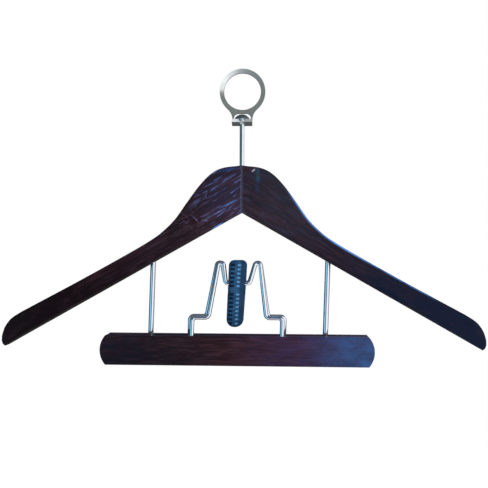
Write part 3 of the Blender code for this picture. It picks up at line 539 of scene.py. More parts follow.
def smooth_curve(points, steps):
    """A Catmull-Rom curve: between two points, the cubic whose ends head along their neighbours."""
    points = np.asarray(points, dtype=float)
    padded = np.vstack([2 * points[0] - points[1], points, 2 * points[-1] - points[-2]])
    a, b, c, d = (padded[k:len(padded) - 3 + k, None] for k in range(4))
    t = np.linspace(0, 1, steps, endpoint=False)[None, :, None]
    curve = (2 * b + (c - a) * t + (2 * a - 5 * b + 4 * c - d) * t ** 2
             + (3 * b - a - 3 * c + d) * t ** 3) / 2
    return np.vstack([curve.reshape(-1, 2), points[-1]])


def inset(outline, distance):
    """An anticlockwise outline moved inwards: each point goes along the mitre of its two edges."""
    ahead = unit(np.roll(outline, -1, axis=0) - outline)
    both = ahead + np.roll(ahead, 1, axis=0)
    normal = np.stack([-both[:, 1], both[:, 0]], axis=1)
    distance = np.broadcast_to(distance, len(outline))
    return outline + normal * (2 * distance / (normal ** 2).sum(axis=1))[:, None]


def plate(name, outline, low_y, high_y, edge_round, steps=7, margin=0.0, joint=0.0):
    """A flat plate across Y: a quarter-round profile carried along the outline, twice, and two caps.

    The edge value peaks on the rounded edges. The joint value holds on them and fades out over the
    margin."""
    edge_round = np.broadcast_to(edge_round, len(outline))
    loops, edges = [], []
    for side, face_y in ((-1, low_y), (1, high_y)):
        for angle in np.linspace(0, RIGHT_TURN, steps)[::-side]:
            flat = inset(outline, edge_round * (1 - sin(angle)))
            y = face_y - side * edge_round * (1 - cos(angle))
            loops.append(np.column_stack([flat[:, 0], y, flat[:, 1]]))
            edges.append(sin(angle) ** 2 * cos(angle) * EDGE_PEAK)
    inner = inset(outline, edge_round * INNER_LOOP_SHARE + margin)
    front, back = (np.insert(inner, 1, face_y, axis=1) for face_y in (low_y, high_y))
    joint = np.pad(np.broadcast_to(joint, (len(loops), len(outline))), ((1, 1), (0, 0)))
    return surface(name, np.stack([front, *loops, back]), joint=joint.ravel(),
                   edge=np.repeat([0, *edges, 0], len(outline)))


def tube(name, path, radius, sides=40):
    """A round bar: a circle carried square to a path, drawn in to a small round edge at both ends."""
    ahead = unit(np.diff(path, axis=0))
    along = unit(np.vstack([ahead[:1], ahead[:-1] + ahead[1:], ahead[-1:]]))
    across = np.array([0.0, 1.0, 0.0])
    first = []
    for direction in along:
        across = unit(across - direction * (across @ direction))
        first.append(across)
    first = np.array(first)
    second = np.cross(along, first)
    angles = np.linspace(0, FULL_TURN, sides, endpoint=False)[None, :, None]
    circle = np.cos(angles) * first[:, None] + np.sin(angles) * second[:, None]
    ends = [path[k] + circle[k] * (radius - TUBE_END_ROUND) + out * along[k] * TUBE_END_ROUND
            for k, out in ((0, -1), (-1, 1))]
    rows = np.concatenate([ends[0][None], path[:, None] + radius * circle, ends[1][None]])
    item = surface(name, rows)
    run_map(item, path, radius)
    return item


def run_map(item, path, radius):
    """A UV map that runs along a wire: U is the turn about the nearest stretch, V the length so far."""
    mesh = item.data
    places = np.zeros(len(mesh.vertices) * 3)
    mesh.vertices.foreach_get("co", places)
    places = places.reshape(-1, 3)
    length = np.concatenate([[0], np.cumsum(np.linalg.norm(np.diff(path, axis=0), axis=1))])
    nearest = np.array([np.argmin(((path - place) ** 2).sum(axis=1)) for place in places])
    offset = places - path[nearest]
    turn = np.arctan2(offset[:, 1], np.hypot(offset[:, 0], offset[:, 2]) * np.sign(offset[:, 0] + 1e-9))
    points = np.zeros(len(mesh.loops), dtype=int)
    mesh.loops.foreach_get("vertex_index", points)
    layer = mesh.uv_layers.new(name="run")
    uv = np.stack([turn[points] / FULL_TURN, length[nearest][points] / (FULL_TURN * radius)], axis=1)
    layer.data.foreach_set("uv", uv.astype(np.float32).ravel())


def turned(name, profile, sides=64):
    """A turned piece: a profile of radius and height carried round the pin's axis, poles closed."""
    angles = np.linspace(0, FULL_TURN, sides, endpoint=False)
    radius, height = np.asarray(profile, dtype=float).T[:, :, None]
    rows = np.stack([radius * np.cos(angles), PIN_Y + radius * np.sin(angles),
                     np.repeat(height, sides, axis=1)], axis=-1)
    item = surface(name, rows, capped=False)
    path = np.array([(0, PIN_Y, z) for z in np.linspace(profile[0][1], profile[-1][1], 60)])
    run_map(item, path, PIN_RADIUS)
    return item


def prism(name, outline, axis, low, high):
    """A flat outline carried straight along one axis; its own two axes are the other two, in order."""
    ends = [np.insert(outline, axis, place, axis=1) for place in (low, high)]
    return surface(name, np.stack(ends))


def modify(item, kind, **settings):
    modifier = item.modifiers.new(kind.lower(), kind)
    for name, value in settings.items():
        setattr(modifier, name, value)


def cut(item, shapes, kept=(), edge_round=0.0):
    """Keep what lies inside the kept shapes, subtract the others, round the edges and store the mesh."""
    jobs = [("INTERSECT", shape) for shape in kept] + [("DIFFERENCE", shape) for shape in shapes]
    for operation, shape in jobs:
        modify(item, "BOOLEAN", operation=operation, solver="EXACT", object=shape)
    if edge_round > 0:
        modify(item, "BEVEL", width=edge_round, segments=3, loop_slide=False, limit_method="ANGLE",
               angle_limit=radians(SMOOTH_DEG), harden_normals=True)
    bpy.context.view_layer.update()
    graph = bpy.context.evaluated_depsgraph_get()
    mesh = bpy.data.meshes.new_from_object(item.evaluated_get(graph))
    item.modifiers.clear()
    old, item.data = item.data, mesh
    mesh.name = item.name
    bpy.data.meshes.remove(old)
    if edge_round == 0:
        mesh.set_sharp_from_angle(angle=radians(SMOOTH_DEG))
    for _, shape in jobs:
        bpy.data.objects.remove(shape)


def arm_outline():
    """Anticlockwise outline of the right arm, from the foot of the mitre along the lower edge."""
    scale = np.array([ARM_SPAN, -ARM_DROP])
    upper = smooth_curve(UPPER_EDGE_SHARES, 9) * scale + (0, WOOD_TOP_Z)
    upper[0] = (GAP / 2, WOOD_TOP_Z)
    tip = np.array(TIP_CORNER_SHARES) * scale + (0, WOOD_TOP_Z)
    foot = np.array([GAP / 2, WOOD_TOP_Z - MITRE_HEIGHT])
    lower = np.linspace(tip[-1], foot, 60)[1:]
    mitre = np.linspace(foot, upper[0], 24)[1:-1]
    return np.vstack([upper, tip, lower, mitre])[::-1]


def make_arm(hand, side, material):
    """One wooden arm: the plate from the outline, nearly sharp at the mitre, bored for the bush."""
    outline = arm_outline()
    near = np.clip(outline[:, 0] / (2 * ARM_EDGE_ROUND), 0, 1)
    edge_round = MITRE_EDGE_ROUND + (ARM_EDGE_ROUND - MITRE_EDGE_ROUND) * near
    tip = np.array([ARM_SPAN * TIP_CORNER_SHARES[-1][0], WOOD_TOP_Z - ARM_DROP])
    from_tip = np.linalg.norm(outline - tip, axis=1)
    edge_round = np.minimum(edge_round, TIP_EDGE_ROUND + from_tip * TIP_ROUND_GROWTH)
    joint = (outline[:, 0] < GAP).astype(float)
    if side < 0:
        outline, edge_round, joint = outline[::-1] * (-1, 1), edge_round[::-1], joint[::-1]
    item = plate(f"wooden_{hand}_arm", outline, ARM_LOW[1], ARM_HIGH[1], edge_round,
                 margin=JOINT_BAND, joint=joint)
    radius = (BUSH_HIGH[0] - BUSH_LOW[0]) / 2 + GAP
    top = WOOD_TOP_Z + INSIDE
    profile = [(0, top), (radius, top), (radius, BUSH_LOW[2]), (0, BUSH_LOW[2])]
    cut(item, [turned("bore", profile)])
    dress(item, material, "hanger", f"{hand}_shoulder")


def dress(item, material, body, node):
    """Paint a piece, let it ride on its body and hide the node it stands for."""
    item.data.materials.append(material)
    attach(item, body)
    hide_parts(node)


def bar_outline(low, high):
    """Anticlockwise outline of a clamp bar: straight long edges, ends that bulge as shallow arcs."""
    half = (high[2] - low[2]) / 2
    radius = (half ** 2 + BAR_END_BULGE ** 2) / (2 * BAR_END_BULGE)
    spread = asin(half / radius)
    middle = (low[2] + high[2]) / 2
    right = arc((high[0] - radius, middle), radius, -spread, spread, 28)
    left = arc((low[0] + radius, middle), radius, pi - spread, pi + spread, 28)
    top = np.linspace(right[-1], left[0], 90)[1:-1]
    foot = np.linspace(left[-1], right[0], 90)[1:-1]
    return np.vstack([right, top, left, foot])


def make_bar(name, node, body, material):
    low, high = corners(node)
    item = plate(name, bar_outline(low, high), low[1], high[1], BAR_EDGE_ROUND)
    dress(item, material, body, node)


def make_felt(name, node, body, material):
    """A felt lining: a thin plate with a slightly wavy edge."""
    low, high = corners(node)
    left, foot, right, top = *(low[[0, 2]] + FELT_CORNER), *(high[[0, 2]] - FELT_CORNER)
    rounds = [arc(place, FELT_CORNER, turn * RIGHT_TURN, (turn + 1) * RIGHT_TURN, 8)
              for turn, place in enumerate(((right, foot), (right, top), (left, top), (left, foot)), -1)]
    sides = [np.linspace(rounds[k][-1], rounds[(k + 1) % 4][0], count)[1:-1]
             for k, count in enumerate((12, 120, 12, 120))]
    outline = np.vstack([part for pair in zip(rounds, sides) for part in pair])
    run = np.arange(len(outline))
    outline = inset(outline, FELT_WAVE * (1 + np.sin(run * 2.3) * np.sin(run * 0.71)))
    item = plate(name, outline, low[1], high[1], FELT_EDGE_ROUND, steps=4)
    dress(item, material, body, node)


def lean_x(z):
    """Sideways drift of the clamp at a height."""
    return CLAMP_LEAN_SHARE * (z - WOOD_TOP_Z + MITRE_HEIGHT)


def bend(before, corner, after, radius):
    """Points of the round bend at a corner: an arc that touches both of its straight stretches."""
    back, on = unit(before - corner), unit(after - corner)
    half = acos(np.clip(back @ on, -1, 1)) / 2
    centre = corner + unit(back + on) * radius / sin(half)
    first = corner + back * radius / tan(half) - centre
    last = corner + on * radius / tan(half) - centre
    sweep = pi - 2 * half
    t = np.linspace(0, 1, 14)[:, None]
    return centre + (first * np.sin(sweep * (1 - t)) + last * np.sin(sweep * t)) / sin(sweep)


def frame_half(insets):
    """Half of a wire frame from foot to middle: foot, step, leg, arch and cross wire."""
    foot_x = BACK_FOOT_HALF - insets[0]
    leg = np.array((BACK_LEG_HALF - insets[1], BAR_TOP_Z + STEP_HEIGHT))
    cross = np.array((CROSS_HALF, CROSS_Z))
    centre = np.array((BACK_ARCH_HALF - insets[2], ARCH_Z - ARCH_RADIUS))

    def touch_angle(point, turn):
        away = point - centre
        return atan2(away[1], away[0]) + turn * acos(ARCH_RADIUS / np.linalg.norm(away))

    arch = arc(centre, ARCH_RADIUS, touch_angle(leg, 1), touch_angle(cross, -1) + FULL_TURN, 28)
    foot = np.array((foot_x, BAR_TOP_Z - INSIDE))
    step = np.array((foot_x, leg[1]))
    middle = np.array((0.0, CROSS_Z))
    return np.vstack([foot, bend(foot, step, leg, WIRE_BEND), bend(step, leg, arch[0], WIRE_BEND), arch,
                      bend(arch[-1], cross, middle, CROSS_BEND), middle])


def make_frame(name, node, side, insets, shift, body, material):
    """A wire frame: the flat half and its mirror image, leaned back or forward and drifted sideways,
    and sheared between the arches: x + slide * (arch - z) / drop."""
    half = frame_half(insets)
    flat = np.vstack([half, (half * (-1, 1))[-2::-1]])
    x, z = flat.T
    y = JAW_Y + side * (ARCH_FROM_JAW + FRAME_SLOPE * (ARCH_Z - z))
    inner = np.abs(x) < BACK_ARCH_HALF - insets[2]
    slide = np.where(inner, CROSS_SLIDE * (ARCH_Z - z) / CROSS_DROP, 0)
    path = np.stack([x + shift + slide + lean_x(z), y, z], axis=1)
    item = tube(name, path, WIRE_RADIUS)
    dress(item, material, body, node)


def make_rod(hand, material):
    """A straight rod between the ends that its node gives."""
    low, high = corners(hand + "_rod")
    y = (low[1] + high[1]) / 2
    top = np.array((high[0] - ROD_RADIUS, y, high[2] - GAP))
    foot = np.array((low[0] + ROD_RADIUS, y, low[2] + GAP))
    item = tube(hand + "_drop_rod", np.linspace(top, foot, 12), ROD_RADIUS, sides=56)
    dress(item, material, "hanger", hand + "_rod")


def make_pin(material):
    """The hook pin: a domed head with a soft rim, a shaft and a flange below the bush."""
    under = PIN_UNDER_HEAD_Z
    dome_height = PIN_HEAD_HEIGHT - PIN_HEAD_RIM
    ball = (PIN_HEAD_RADIUS ** 2 + dome_height ** 2) / (2 * dome_height)
    rim_x = PIN_HEAD_RADIUS - PIN_HEAD_ROUND
    angles = np.linspace(0, asin(rim_x / ball), 18)
    dome = np.stack([ball * np.sin(angles), PIN_HIGH[2] - ball * (1 - np.cos(angles))], axis=1)
    rim = arc((rim_x, under + PIN_HEAD_ROUND), PIN_HEAD_ROUND, 0.4, -RIGHT_TURN, 7)
    neck = arc((PIN_RADIUS + PIN_HEAD_ROUND, under - PIN_HEAD_ROUND), PIN_HEAD_ROUND, RIGHT_TURN, pi, 6)
    flange_z = PIN_LOW[2] + PIN_FLANGE_THICK
    shaft = [(PIN_RADIUS, z) for z in np.linspace(neck[-1][1], flange_z, 30)[1:]]
    flange = [(PIN_FLANGE_RADIUS, flange_z), (PIN_FLANGE_RADIUS, PIN_LOW[2]), (0, PIN_LOW[2])]
    item = turned("headed_pin", np.vstack([dome, rim, neck, shaft, flange]))
    dress(item, material, "pin", "hook_pin")


def end_loss(from_end, corner):
    """What a quarter-round end takes away at a distance from the tip."""
    return corner * (1 - np.sqrt(1 - np.clip(1 - from_end / corner, 0, 1) ** 2))


def lever_section(z):
    """Half width, middle and half depth of the lever at heights beside its pivot."""
    share = (LEVER_ABOVE - z) / (LEVER_ABOVE + LEVER_BELOW)
    from_top, from_foot = LEVER_ABOVE - z, z + LEVER_BELOW
    half = LEVER_TOP_HALF + (LEVER_FOOT_HALF - LEVER_TOP_HALF) * share
    half = half - end_loss(from_top, LEVER_TOP_CORNER) - end_loss(from_foot, LEVER_FOOT_CORNER)
    middle_z = (LEVER_ABOVE - LEVER_BELOW) / 2
    hub_front = -(2 * CROSS_FROM_JAW + CROSS_BORE + LEVER_FRONT_WALL)
    front = hub_front + LEVER_FRONT_BOW * ((z - middle_z) / (LEVER_ABOVE - middle_z)) ** 2
    end_back = hub_front + LEVER_FRONT_BOW + LEVER_END_DEPTH
    back = end_back + (CROSS_BORE + LEVER_WALL - end_back) * np.exp(-(z / LEVER_HUB_REACH) ** 2)
    slim = end_loss(np.minimum(from_top, from_foot), LEVER_END_ROUND)
    return half, (front + back) / 2, (back - front) / 2 - slim


def unit_section():
    """Shares across and deep of the lever's super-ellipse, dense over its front."""
    power, turn_share = 4.6, 0.94

    def other(share):
        return (1 - np.abs(share) ** power) ** (1 / power)

    front = np.linspace(-turn_share, turn_share, 130)
    flank = np.linspace(-other(turn_share), other(turn_share), 30)[1:-1]
    back = np.linspace(turn_share, -turn_share, 30)
    across = np.concatenate([front, other(flank), back, -other(flank)])
    deep = np.concatenate([-other(front), flank, other(back), flank[::-1]])
    return across, deep


def step_mask(distance, half, wall):
    """1 within half of a middle, 0 beyond, with a soft wall between."""
    share = np.clip((half - distance) / wall + 0.5, 0, 1)
    return share * share * (3 - 2 * share)


def lever_skin():
    """The lever: super-elliptic sections down its length, with pockets pressed into the front."""
    bends = 1 - np.cos(np.linspace(0, RIGHT_TURN, 22))
    middle = np.linspace(LEVER_ABOVE - LEVER_TOP_CORNER, -LEVER_BELOW + LEVER_FOOT_CORNER, 330)[1:-1]
    z = np.concatenate([LEVER_ABOVE - LEVER_TOP_CORNER * bends, middle,
                        (-LEVER_BELOW + LEVER_FOOT_CORNER * bends)[::-1]])
    across, deep = unit_section()
    half, mid, half_depth = (value[:, None] for value in lever_section(z))
    x = half * across
    y = mid + half_depth * deep + LEVER_FRONT_CROWN * across ** 2 * (1 - deep) / 2
    rows, pitch = np.linspace(-LEVER_BELOW + LAST_ROW_RISE, LEVER_ABOVE - FIRST_ROW_DROP, RIB_ROWS,
                              retstep=True)
    from_row = np.abs(z[:, None] - np.delete(rows, -1 - BLANK_ROW)).min(axis=1)[:, None]
    outer = np.minimum(POCKET_OUTER, half - (LEVER_TOP_HALF - POCKET_OUTER) / 2)
    aside = x - GRIP_SLIDE
    from_middle = np.abs(aside) - (SPINE_HALF + outer) / 2
    mask = step_mask(np.abs(from_middle), (outer - SPINE_HALF) / 2, POCKET_WALL)
    mask = mask * step_mask(from_row, (pitch - RIB_THICK) / 2, POCKET_WALL) * (deep < 0)
    y = y + mask * (POCKET_DEPTH + POCKET_SLANT * (from_middle / (outer - SPINE_HALF)))
    outside = step_mask(POCKET_OUTER - np.abs(aside), 0.0, 2 * POCKET_WALL)
    edge_share = 1 - step_mask(RIM_SHARE - np.abs(across), 0.0, RIM_SOFTNESS)
    # The sign of the pocket value splits the columns for painted shade and painted highlight; the last value marks
    # the front's flanks for painted shade.
    return x, y, z, mask * np.sign(aside), outside * edge_share * (deep < 0)


def swung(y, z, angle):
    """Turn places beside an axis about -X: what hangs below the axis swings to the front."""
    return y * np.cos(angle) + z * np.sin(angle), -y * np.sin(angle) + z * np.cos(angle)


def cam_outline():
    """Outline of the cam slot: the front cross wire's way past the turning lever, widened to the bore."""
    share = np.linspace(0, 1, 40)
    y, z = swung(-CROSS_FROM_JAW, -CROSS_DROP, radians(JAW_SWING_DEG) * share)
    path = np.stack(swung(y - CROSS_FROM_JAW, z + CROSS_DROP, -radians(LEVER_SWING_DEG) * share), axis=1)
    ahead = unit(np.gradient(path, axis=0))
    normal = np.stack([-ahead[:, 1], ahead[:, 0]], axis=1)
    first, last = (atan2(*normal[k][::-1]) for k in (0, -1))
    return np.vstack([arc(path[0], CROSS_BORE, first, first + pi, 20),
                      path[1:-1] - normal[1:-1] * CROSS_BORE,
                      arc(path[-1], CROSS_BORE, last - pi, last, 20),
                      (path[1:-1] + normal[1:-1] * CROSS_BORE)[::-1]])


def make_lever(material):
    """The cam lever in its place: lean, pivot bore and cam slot."""
    x, y, z, pocket, margin = lever_skin()
    middle_x = FRAME_OFFSET + CROSS_SLIDE + LEVER_SLIDE + lean_x(CROSS_Z)
    lean = CLAMP_LEAN_SHARE + tan(radians(LEVER_LEAN_DEG))
    rows = np.stack([x + middle_x + (z * lean)[:, None], y + LEVER_Y,
                     np.broadcast_to((z + CROSS_Z)[:, None], x.shape)], axis=-1)
    # The pocket and margin values carry the painted shade and highlight of the lever's front.
    item = surface("cam_lever", rows, smooth_deg=50, pocket=pocket.ravel(), margin=margin.ravel())
    reach = LEVER_TOP_HALF + INSIDE
    cutters = [prism(name, outline + (LEVER_Y, CROSS_Z), 0, middle_x - reach, middle_x + reach)
               for name, outline in (("pivot", arc((0, 0), CROSS_BORE, 0, FULL_TURN, 49)[:-1]),
                                     ("cam", cam_outline()))]
    cut(item, cutters)
    dress(item, material, "lever", "lock_lever")


def ring_outline():
    """The ring's outline from the front: a circle, two concave fillets and the tail's straight sides."""
    fillet_x = TAIL_HALF + NECK_FILLET
    fillet_z = -sqrt((RING_RADIUS + NECK_FILLET) ** 2 - fillet_x ** 2)
    touch = atan2(fillet_z, fillet_x)
    foot = RING_LOW[2] - INSIDE
    return np.vstack([arc((0, 0), RING_RADIUS, touch, pi - touch, 160),
                      arc((-fillet_x, fillet_z), NECK_FILLET, -touch, 0, 24)[1:],
                      [(-TAIL_HALF, foot), (TAIL_HALF, foot)],
                      arc((fillet_x, fillet_z), NECK_FILLET, pi, pi + touch, 24)[:-1]])


def strip_outline():
    """The ring's plate from the side: a straight strip whose foot is folded forward and up into a lip."""
    half = PLATE_THICK / 2
    rise = radians(13.7)
    middle_front = -RING_LOW[1] - sin(rise) * half
    run = (middle_front - FOLD_RADIUS * (1 + sin(rise))) / cos(rise)
    ahead = run * np.array([-cos(rise), sin(rise)])
    top = (half, RING_HIGH[2] + INSIDE)
    outer = arc((-FOLD_RADIUS, FOLD_Z), FOLD_RADIUS + half, 0, -RIGHT_TURN - rise, 25)
    inner = arc((-FOLD_RADIUS, FOLD_Z), FOLD_RADIUS - half, -RIGHT_TURN - rise, 0, 25)
    return np.vstack([top, outer, outer[-1] + ahead, inner[0] + ahead, inner, (-half, top[1])])


def window_outline():
    """The window above the lip: round upper corners and straight sides down into the fold."""
    top = -RING_HOLE_RADIUS - NECK_WEB
    foot = FOLD_Z - FOLD_RADIUS * sin(radians(WINDOW_FOOT_DEG))
    corner_x = WINDOW_HALF - WINDOW_CORNER
    right = arc((corner_x, top - WINDOW_CORNER), WINDOW_CORNER, 0, RIGHT_TURN, 16)
    left = arc((-corner_x, top - WINDOW_CORNER), WINDOW_CORNER, RIGHT_TURN, pi, 16)
    return np.vstack([right, left, [(-WINDOW_HALF, foot), (WINDOW_HALF, foot)]])


def make_ring(material):
    """The rail ring: the folded strip cut to its outline, then its hole, window and fork."""
    wide = RING_RADIUS + INSIDE
    item = prism("stamped_ring", strip_outline(), 0, -wide, wide)
    outline = prism("outline", ring_outline(), 1, RING_LOW[1] - INSIDE, INSIDE)
    hole = prism("hole", arc((0, 0), RING_HOLE_RADIUS, 0, FULL_TURN, 161)[:-1], 1, -INSIDE, INSIDE)
    window = prism("window", window_outline(), 1, -PLATE_THICK * 0.6, INSIDE)
    half = PIN_RADIUS + GAP
    slot = np.vstack([arc((0, PIN_Y), half, 0, pi, 30),
                      [(-half, RING_LOW[1] - INSIDE), (half, RING_LOW[1] - INSIDE)]])
    fork = prism("fork", slot, 2, RING_LOW[2] - INSIDE, PIN_HIGH[2])
    cut(item, [hole, window, fork], kept=[outline], edge_round=PLATE_EDGE_ROUND)
    dress(item, material, "ring", "rail_ring")


def repaint(material, *nodes):
    """Give carried-over nodes their new finish."""
    for node in nodes:
        mesh = frame["nodes"][node].data
        mesh.materials.clear()
        mesh.materials.append(material)


# Marks in the lacquer, in millimetres, mostly painted sheen, reflection and highlight. Sheen streaks, tone and
# sheen clouds, veins, and edge highlights and chips give X, Z, reach, strength and colour. Sheen and scuff marks
# give X, Z, half length, half width, tilt in degrees, strength and colour.
# Left arm: the blue and violet marks near the mitre are painted sheen, and the last long mark is a painted blue
# highlight on the lower edge; the far cloud is darker tone.
LEFT_ARM_MARKS = dict(
    sheen_streaks=((-10, -100, 44, 1.0, (0.11, 0.165, 0.42)), (-16, -86, 40, 0.35, (0.06, 0.07, 0.17)),
             (-70, -125, 100, 0.25, (0.075, 0.06, 0.095))),
    tone_and_sheen_clouds=((-222, -230, 205, 1.4, (0.0062, 0.002, 0.003)),),
    veins=((-50, -121, 20, 0.3, (0.1, 0.08, 0.14)),),
    edge_highlights_and_chips=((-24, -78, 4, 0.8, (0.3, 0.35, 0.4)),),
    sheen_and_scuff_marks=((-43, -118.1, 6.2, 0.7, 45, 0.9, (0.13, 0.095, 0.22)),
            (-32.5, -96.3, 5, 0.8, -75, 0.8, (0.08, 0.07, 0.2)),
            (-33.5, -120.2, 4.2, 0.6, 8, 0.8, (0.12, 0.105, 0.22)),
            (-12, -105, 12, 0.9, -27, 0.9, (0.05, 0.13, 0.33)),
            (-20, -112, 8.5, 0.8, -30, 0.9, (0.11, 0.15, 0.36)),
            (-13, -73.7, 14, 2.2, -8, 0.7, (0.018, 0.04, 0.14)),
            (-22.6, -125.7, 8.5, 0.8, -32, 1.4, (0.08, 0.27, 0.76))))
# Right arm: the bluish cloud marks are painted sheen, the edge marks and the first long mark are a painted blue
# highlight along the edges, and the tall teal and blue marks are painted reflections.
RIGHT_ARM_MARKS = dict(
    sheen_streaks=((20, -115, 80, 0.6, (0.045, 0.046, 0.095)), (100, -145, 120, 0.4, (0.05, 0.05, 0.095))),
    tone_and_sheen_clouds=((45, -95, 80, 0.75, (0.019, 0.022, 0.036)), (14, -79, 11, 0.5, (0.014, 0.026, 0.06)),
            (225, -235, 240, 1.6, (0.002, 0.005, 0.02))),
    edge_highlights_and_chips=((66, -108, 34, 1.3, (0.07, 0.2, 0.56)), (100, -125, 38, 1.6, (0.09, 0.27, 0.68)),
           (112, -135, 34, 1.2, (0.08, 0.24, 0.6))),
    sheen_and_scuff_marks=((140, -171.6, 52, 0.9, 29, 1.0, (0.04, 0.125, 0.34)),
            (11, -74.4, 2.6, 1.1, -38, 1.2, (0.45, 0.52, 0.6)),
            (15, -78.5, 9, 2.2, 86, 0.8, (0.012, 0.075, 0.088)),
            (14.4, -88, 9, 2.8, 88, 0.6, (0.012, 0.036, 0.085)),
            (5, -101, 6, 2, 30, 0.5, (0.04, 0.035, 0.07))))
# Front bar: painted violet and blue reflection towards the right end, and darker towards the left end.
FRONT_BAR_MARKS = dict(
    tone_and_sheen_clouds=((60, -238, 80, 0.55, (0.045, 0.026, 0.09)), (125, -238, 78, 1.0, (0.03, 0.078, 0.215)),
            (-135, -238, 130, 0.95, (0.005, 0.006, 0.012))))


def build_hanger():
    """Every piece of the hanger."""
    for hand, side, shift, marks in (("left", -1, (0.31, 0.0, 0.12), LEFT_ARM_MARKS),
                                     ("right", 1, (0.83, 0.4, 0.57), RIGHT_ARM_MARKS)):
        wood = lacquered_wood(hand + "_arm_wood", -side * ARM_SLOPE, shift, ARM_LOW[1], **marks)
        make_arm(hand, side, wood)
    back_wood = lacquered_wood("back_bar_wood", 0.0, (1.7, 0.2, 0.9))
    front_wood = lacquered_wood("front_bar_wood", 0.0, (2.6, 0.9, 0.3), corners("front_bar")[0][1],
                                **FRONT_BAR_MARKS)
    make_bar("rear_clamp_bar", "back_bar", "hanger", back_wood)
    make_bar("front_clamp_bar", "front_bar", "front_jaw", front_wood)
    felt, chrome = jaw_felt(), chromed_wire()
    make_felt("rear_felt", "back_felt", "hanger", felt)
    make_felt("front_felt_lining", "front_felt", "front_jaw", felt)
    make_frame("rear_wire_frame", "back_frame", 1, (0, 0, 0), FRAME_OFFSET - FRAME_STAGGER, "hanger", chrome)
    make_frame("front_wire_frame", "front_frame", -1, FRONT_INSETS, FRAME_OFFSET + FRAME_STAGGER,
               "front_jaw", chrome)
    make_rod("left", chrome)
    make_rod("right", chrome)
    make_pin(pin_plate())
    make_ring(nickelled_plate())
    make_lever(lever_plastic())
    repaint(turned_steel(), "pin_bush")
    repaint(dowel_beech(), "upper_dowel", "lower_dowel")


# Studio, with its wall's profile as radius and height
WHITE = (1.0, 1.0, 1.0)
WALL_PALE, WALL_DIM = (0.28, 0.32, 0.4), (0.09, 0.12, 0.17)
WALL_PROFILE = ((0.4, -0.59), (1.6, -0.59), (1.6, 0.3), (1.6, 1.2), (0.8, 1.6), (0.1, 1.8))
FLOOR_Z = cad_box[0][2] - 0.35
FLOOR_REACH = 6
WORLD_STRENGTH = 0.62
CAMERA_DISTANCE = 0.718
CAMERA_AIM = Vector((0.002, 0.0, -0.1417))
CAMERA_LENS = 56.9

# The wall's tones by direction, 0 and 1 behind the object and 0.5 in front: low, middle and high
# bands, and the small patch high up that the ring's lip mirrors
LOW_STOPS = (
    (0.0, (0.1, 0.1, 0.18)), (0.05, (0.02, 0.04, 0.1)), (0.2, (0.012, 0.035, 0.1)),
    (0.28, (0.012, 0.04, 0.12)), (0.3, (0.1, 0.4, 0.7)), (0.36, (0.28, 0.68, 0.92)),
    (0.415, (0.45, 0.82, 0.98)), (0.435, (0.03, 0.07, 0.17)), (0.499, (0.03, 0.06, 0.14)),
    (0.514, (0.2, 0.4, 0.75)), (0.535, (0.95, 0.98, 1.0)), (0.715, WHITE), (0.76, (0.4, 0.37, 0.52)),
    (0.85, (0.26, 0.24, 0.36)), (0.93, (0.3, 0.28, 0.42)), (1.0, (0.1, 0.1, 0.18)))
MIDDLE_STOPS = (
    (0.0, (0.1, 0.11, 0.16)), (0.12, (0.1, 0.13, 0.15)), (0.24, (0.07, 0.11, 0.13)),
    (0.34, (0.07, 0.12, 0.14)), (0.38, (0.08, 0.14, 0.16)), (0.515, (0.09, 0.16, 0.17)), (0.527, WHITE),
    (0.74, WHITE), (0.77, (0.55, 0.5, 0.62)), (0.9, (0.7, 0.68, 0.76)), (1.0, (0.1, 0.11, 0.16)))
HIGH_STOPS = ((0.4885, WHITE), (0.4908, (0.5, 0.54, 0.55)), (0.4935, (0.27, 0.29, 0.31)),
              (0.499, (0.2, 0.215, 0.22)))
PATCH_STOPS = ((0.485, WALL_DIM), (0.486, WHITE), (0.4905, WHITE), (0.4918, (0.34, 0.35, 0.36)),
               (0.497, (0.48, 0.5, 0.5)), (0.4985, WALL_DIM))

# Soft lamps: name, place, height that they look at, size, power and colour
LAMPS = (
    ("right_window", (0.75, -0.95, 0.35), -0.14, 0.55, 9.0, (0.93, 0.97, 1.0)),
    ("left_fill", (-0.9, -0.7, 0.45), -0.14, 0.6, 4.0, (0.8, 0.9, 1.0)),
    ("rear_top", (0.25, 0.75, 0.75), -0.12, 0.5, 3.5, (0.85, 0.93, 1.0)),
)


def make_floor():
    """A plain pale floor that stays white to the camera apart from a faint shadow."""
    finish = Finish("pale_floor", Roughness=0.9, Base_Color=(0.86, 0.86, 0.86))
    white = finish.add("Emission", {}, {"Color": WHITE, "Strength": 1.05})
    pale = Wire(finish, finish.shader.outputs[0])
    finish.show(finish.add("MixShader", {}, {0: finish.seen() * 0.93, 1: pale, 2: white}))
    reach = np.linspace(-FLOOR_REACH, FLOOR_REACH, 13)
    x, y = np.meshgrid(reach, reach)
    rows = np.stack([x, y, np.full(x.shape, FLOOR_Z)], axis=-1)
    floor = surface("floor", rows, around=False, capped=False)
    floor.data.materials.append(finish.material)


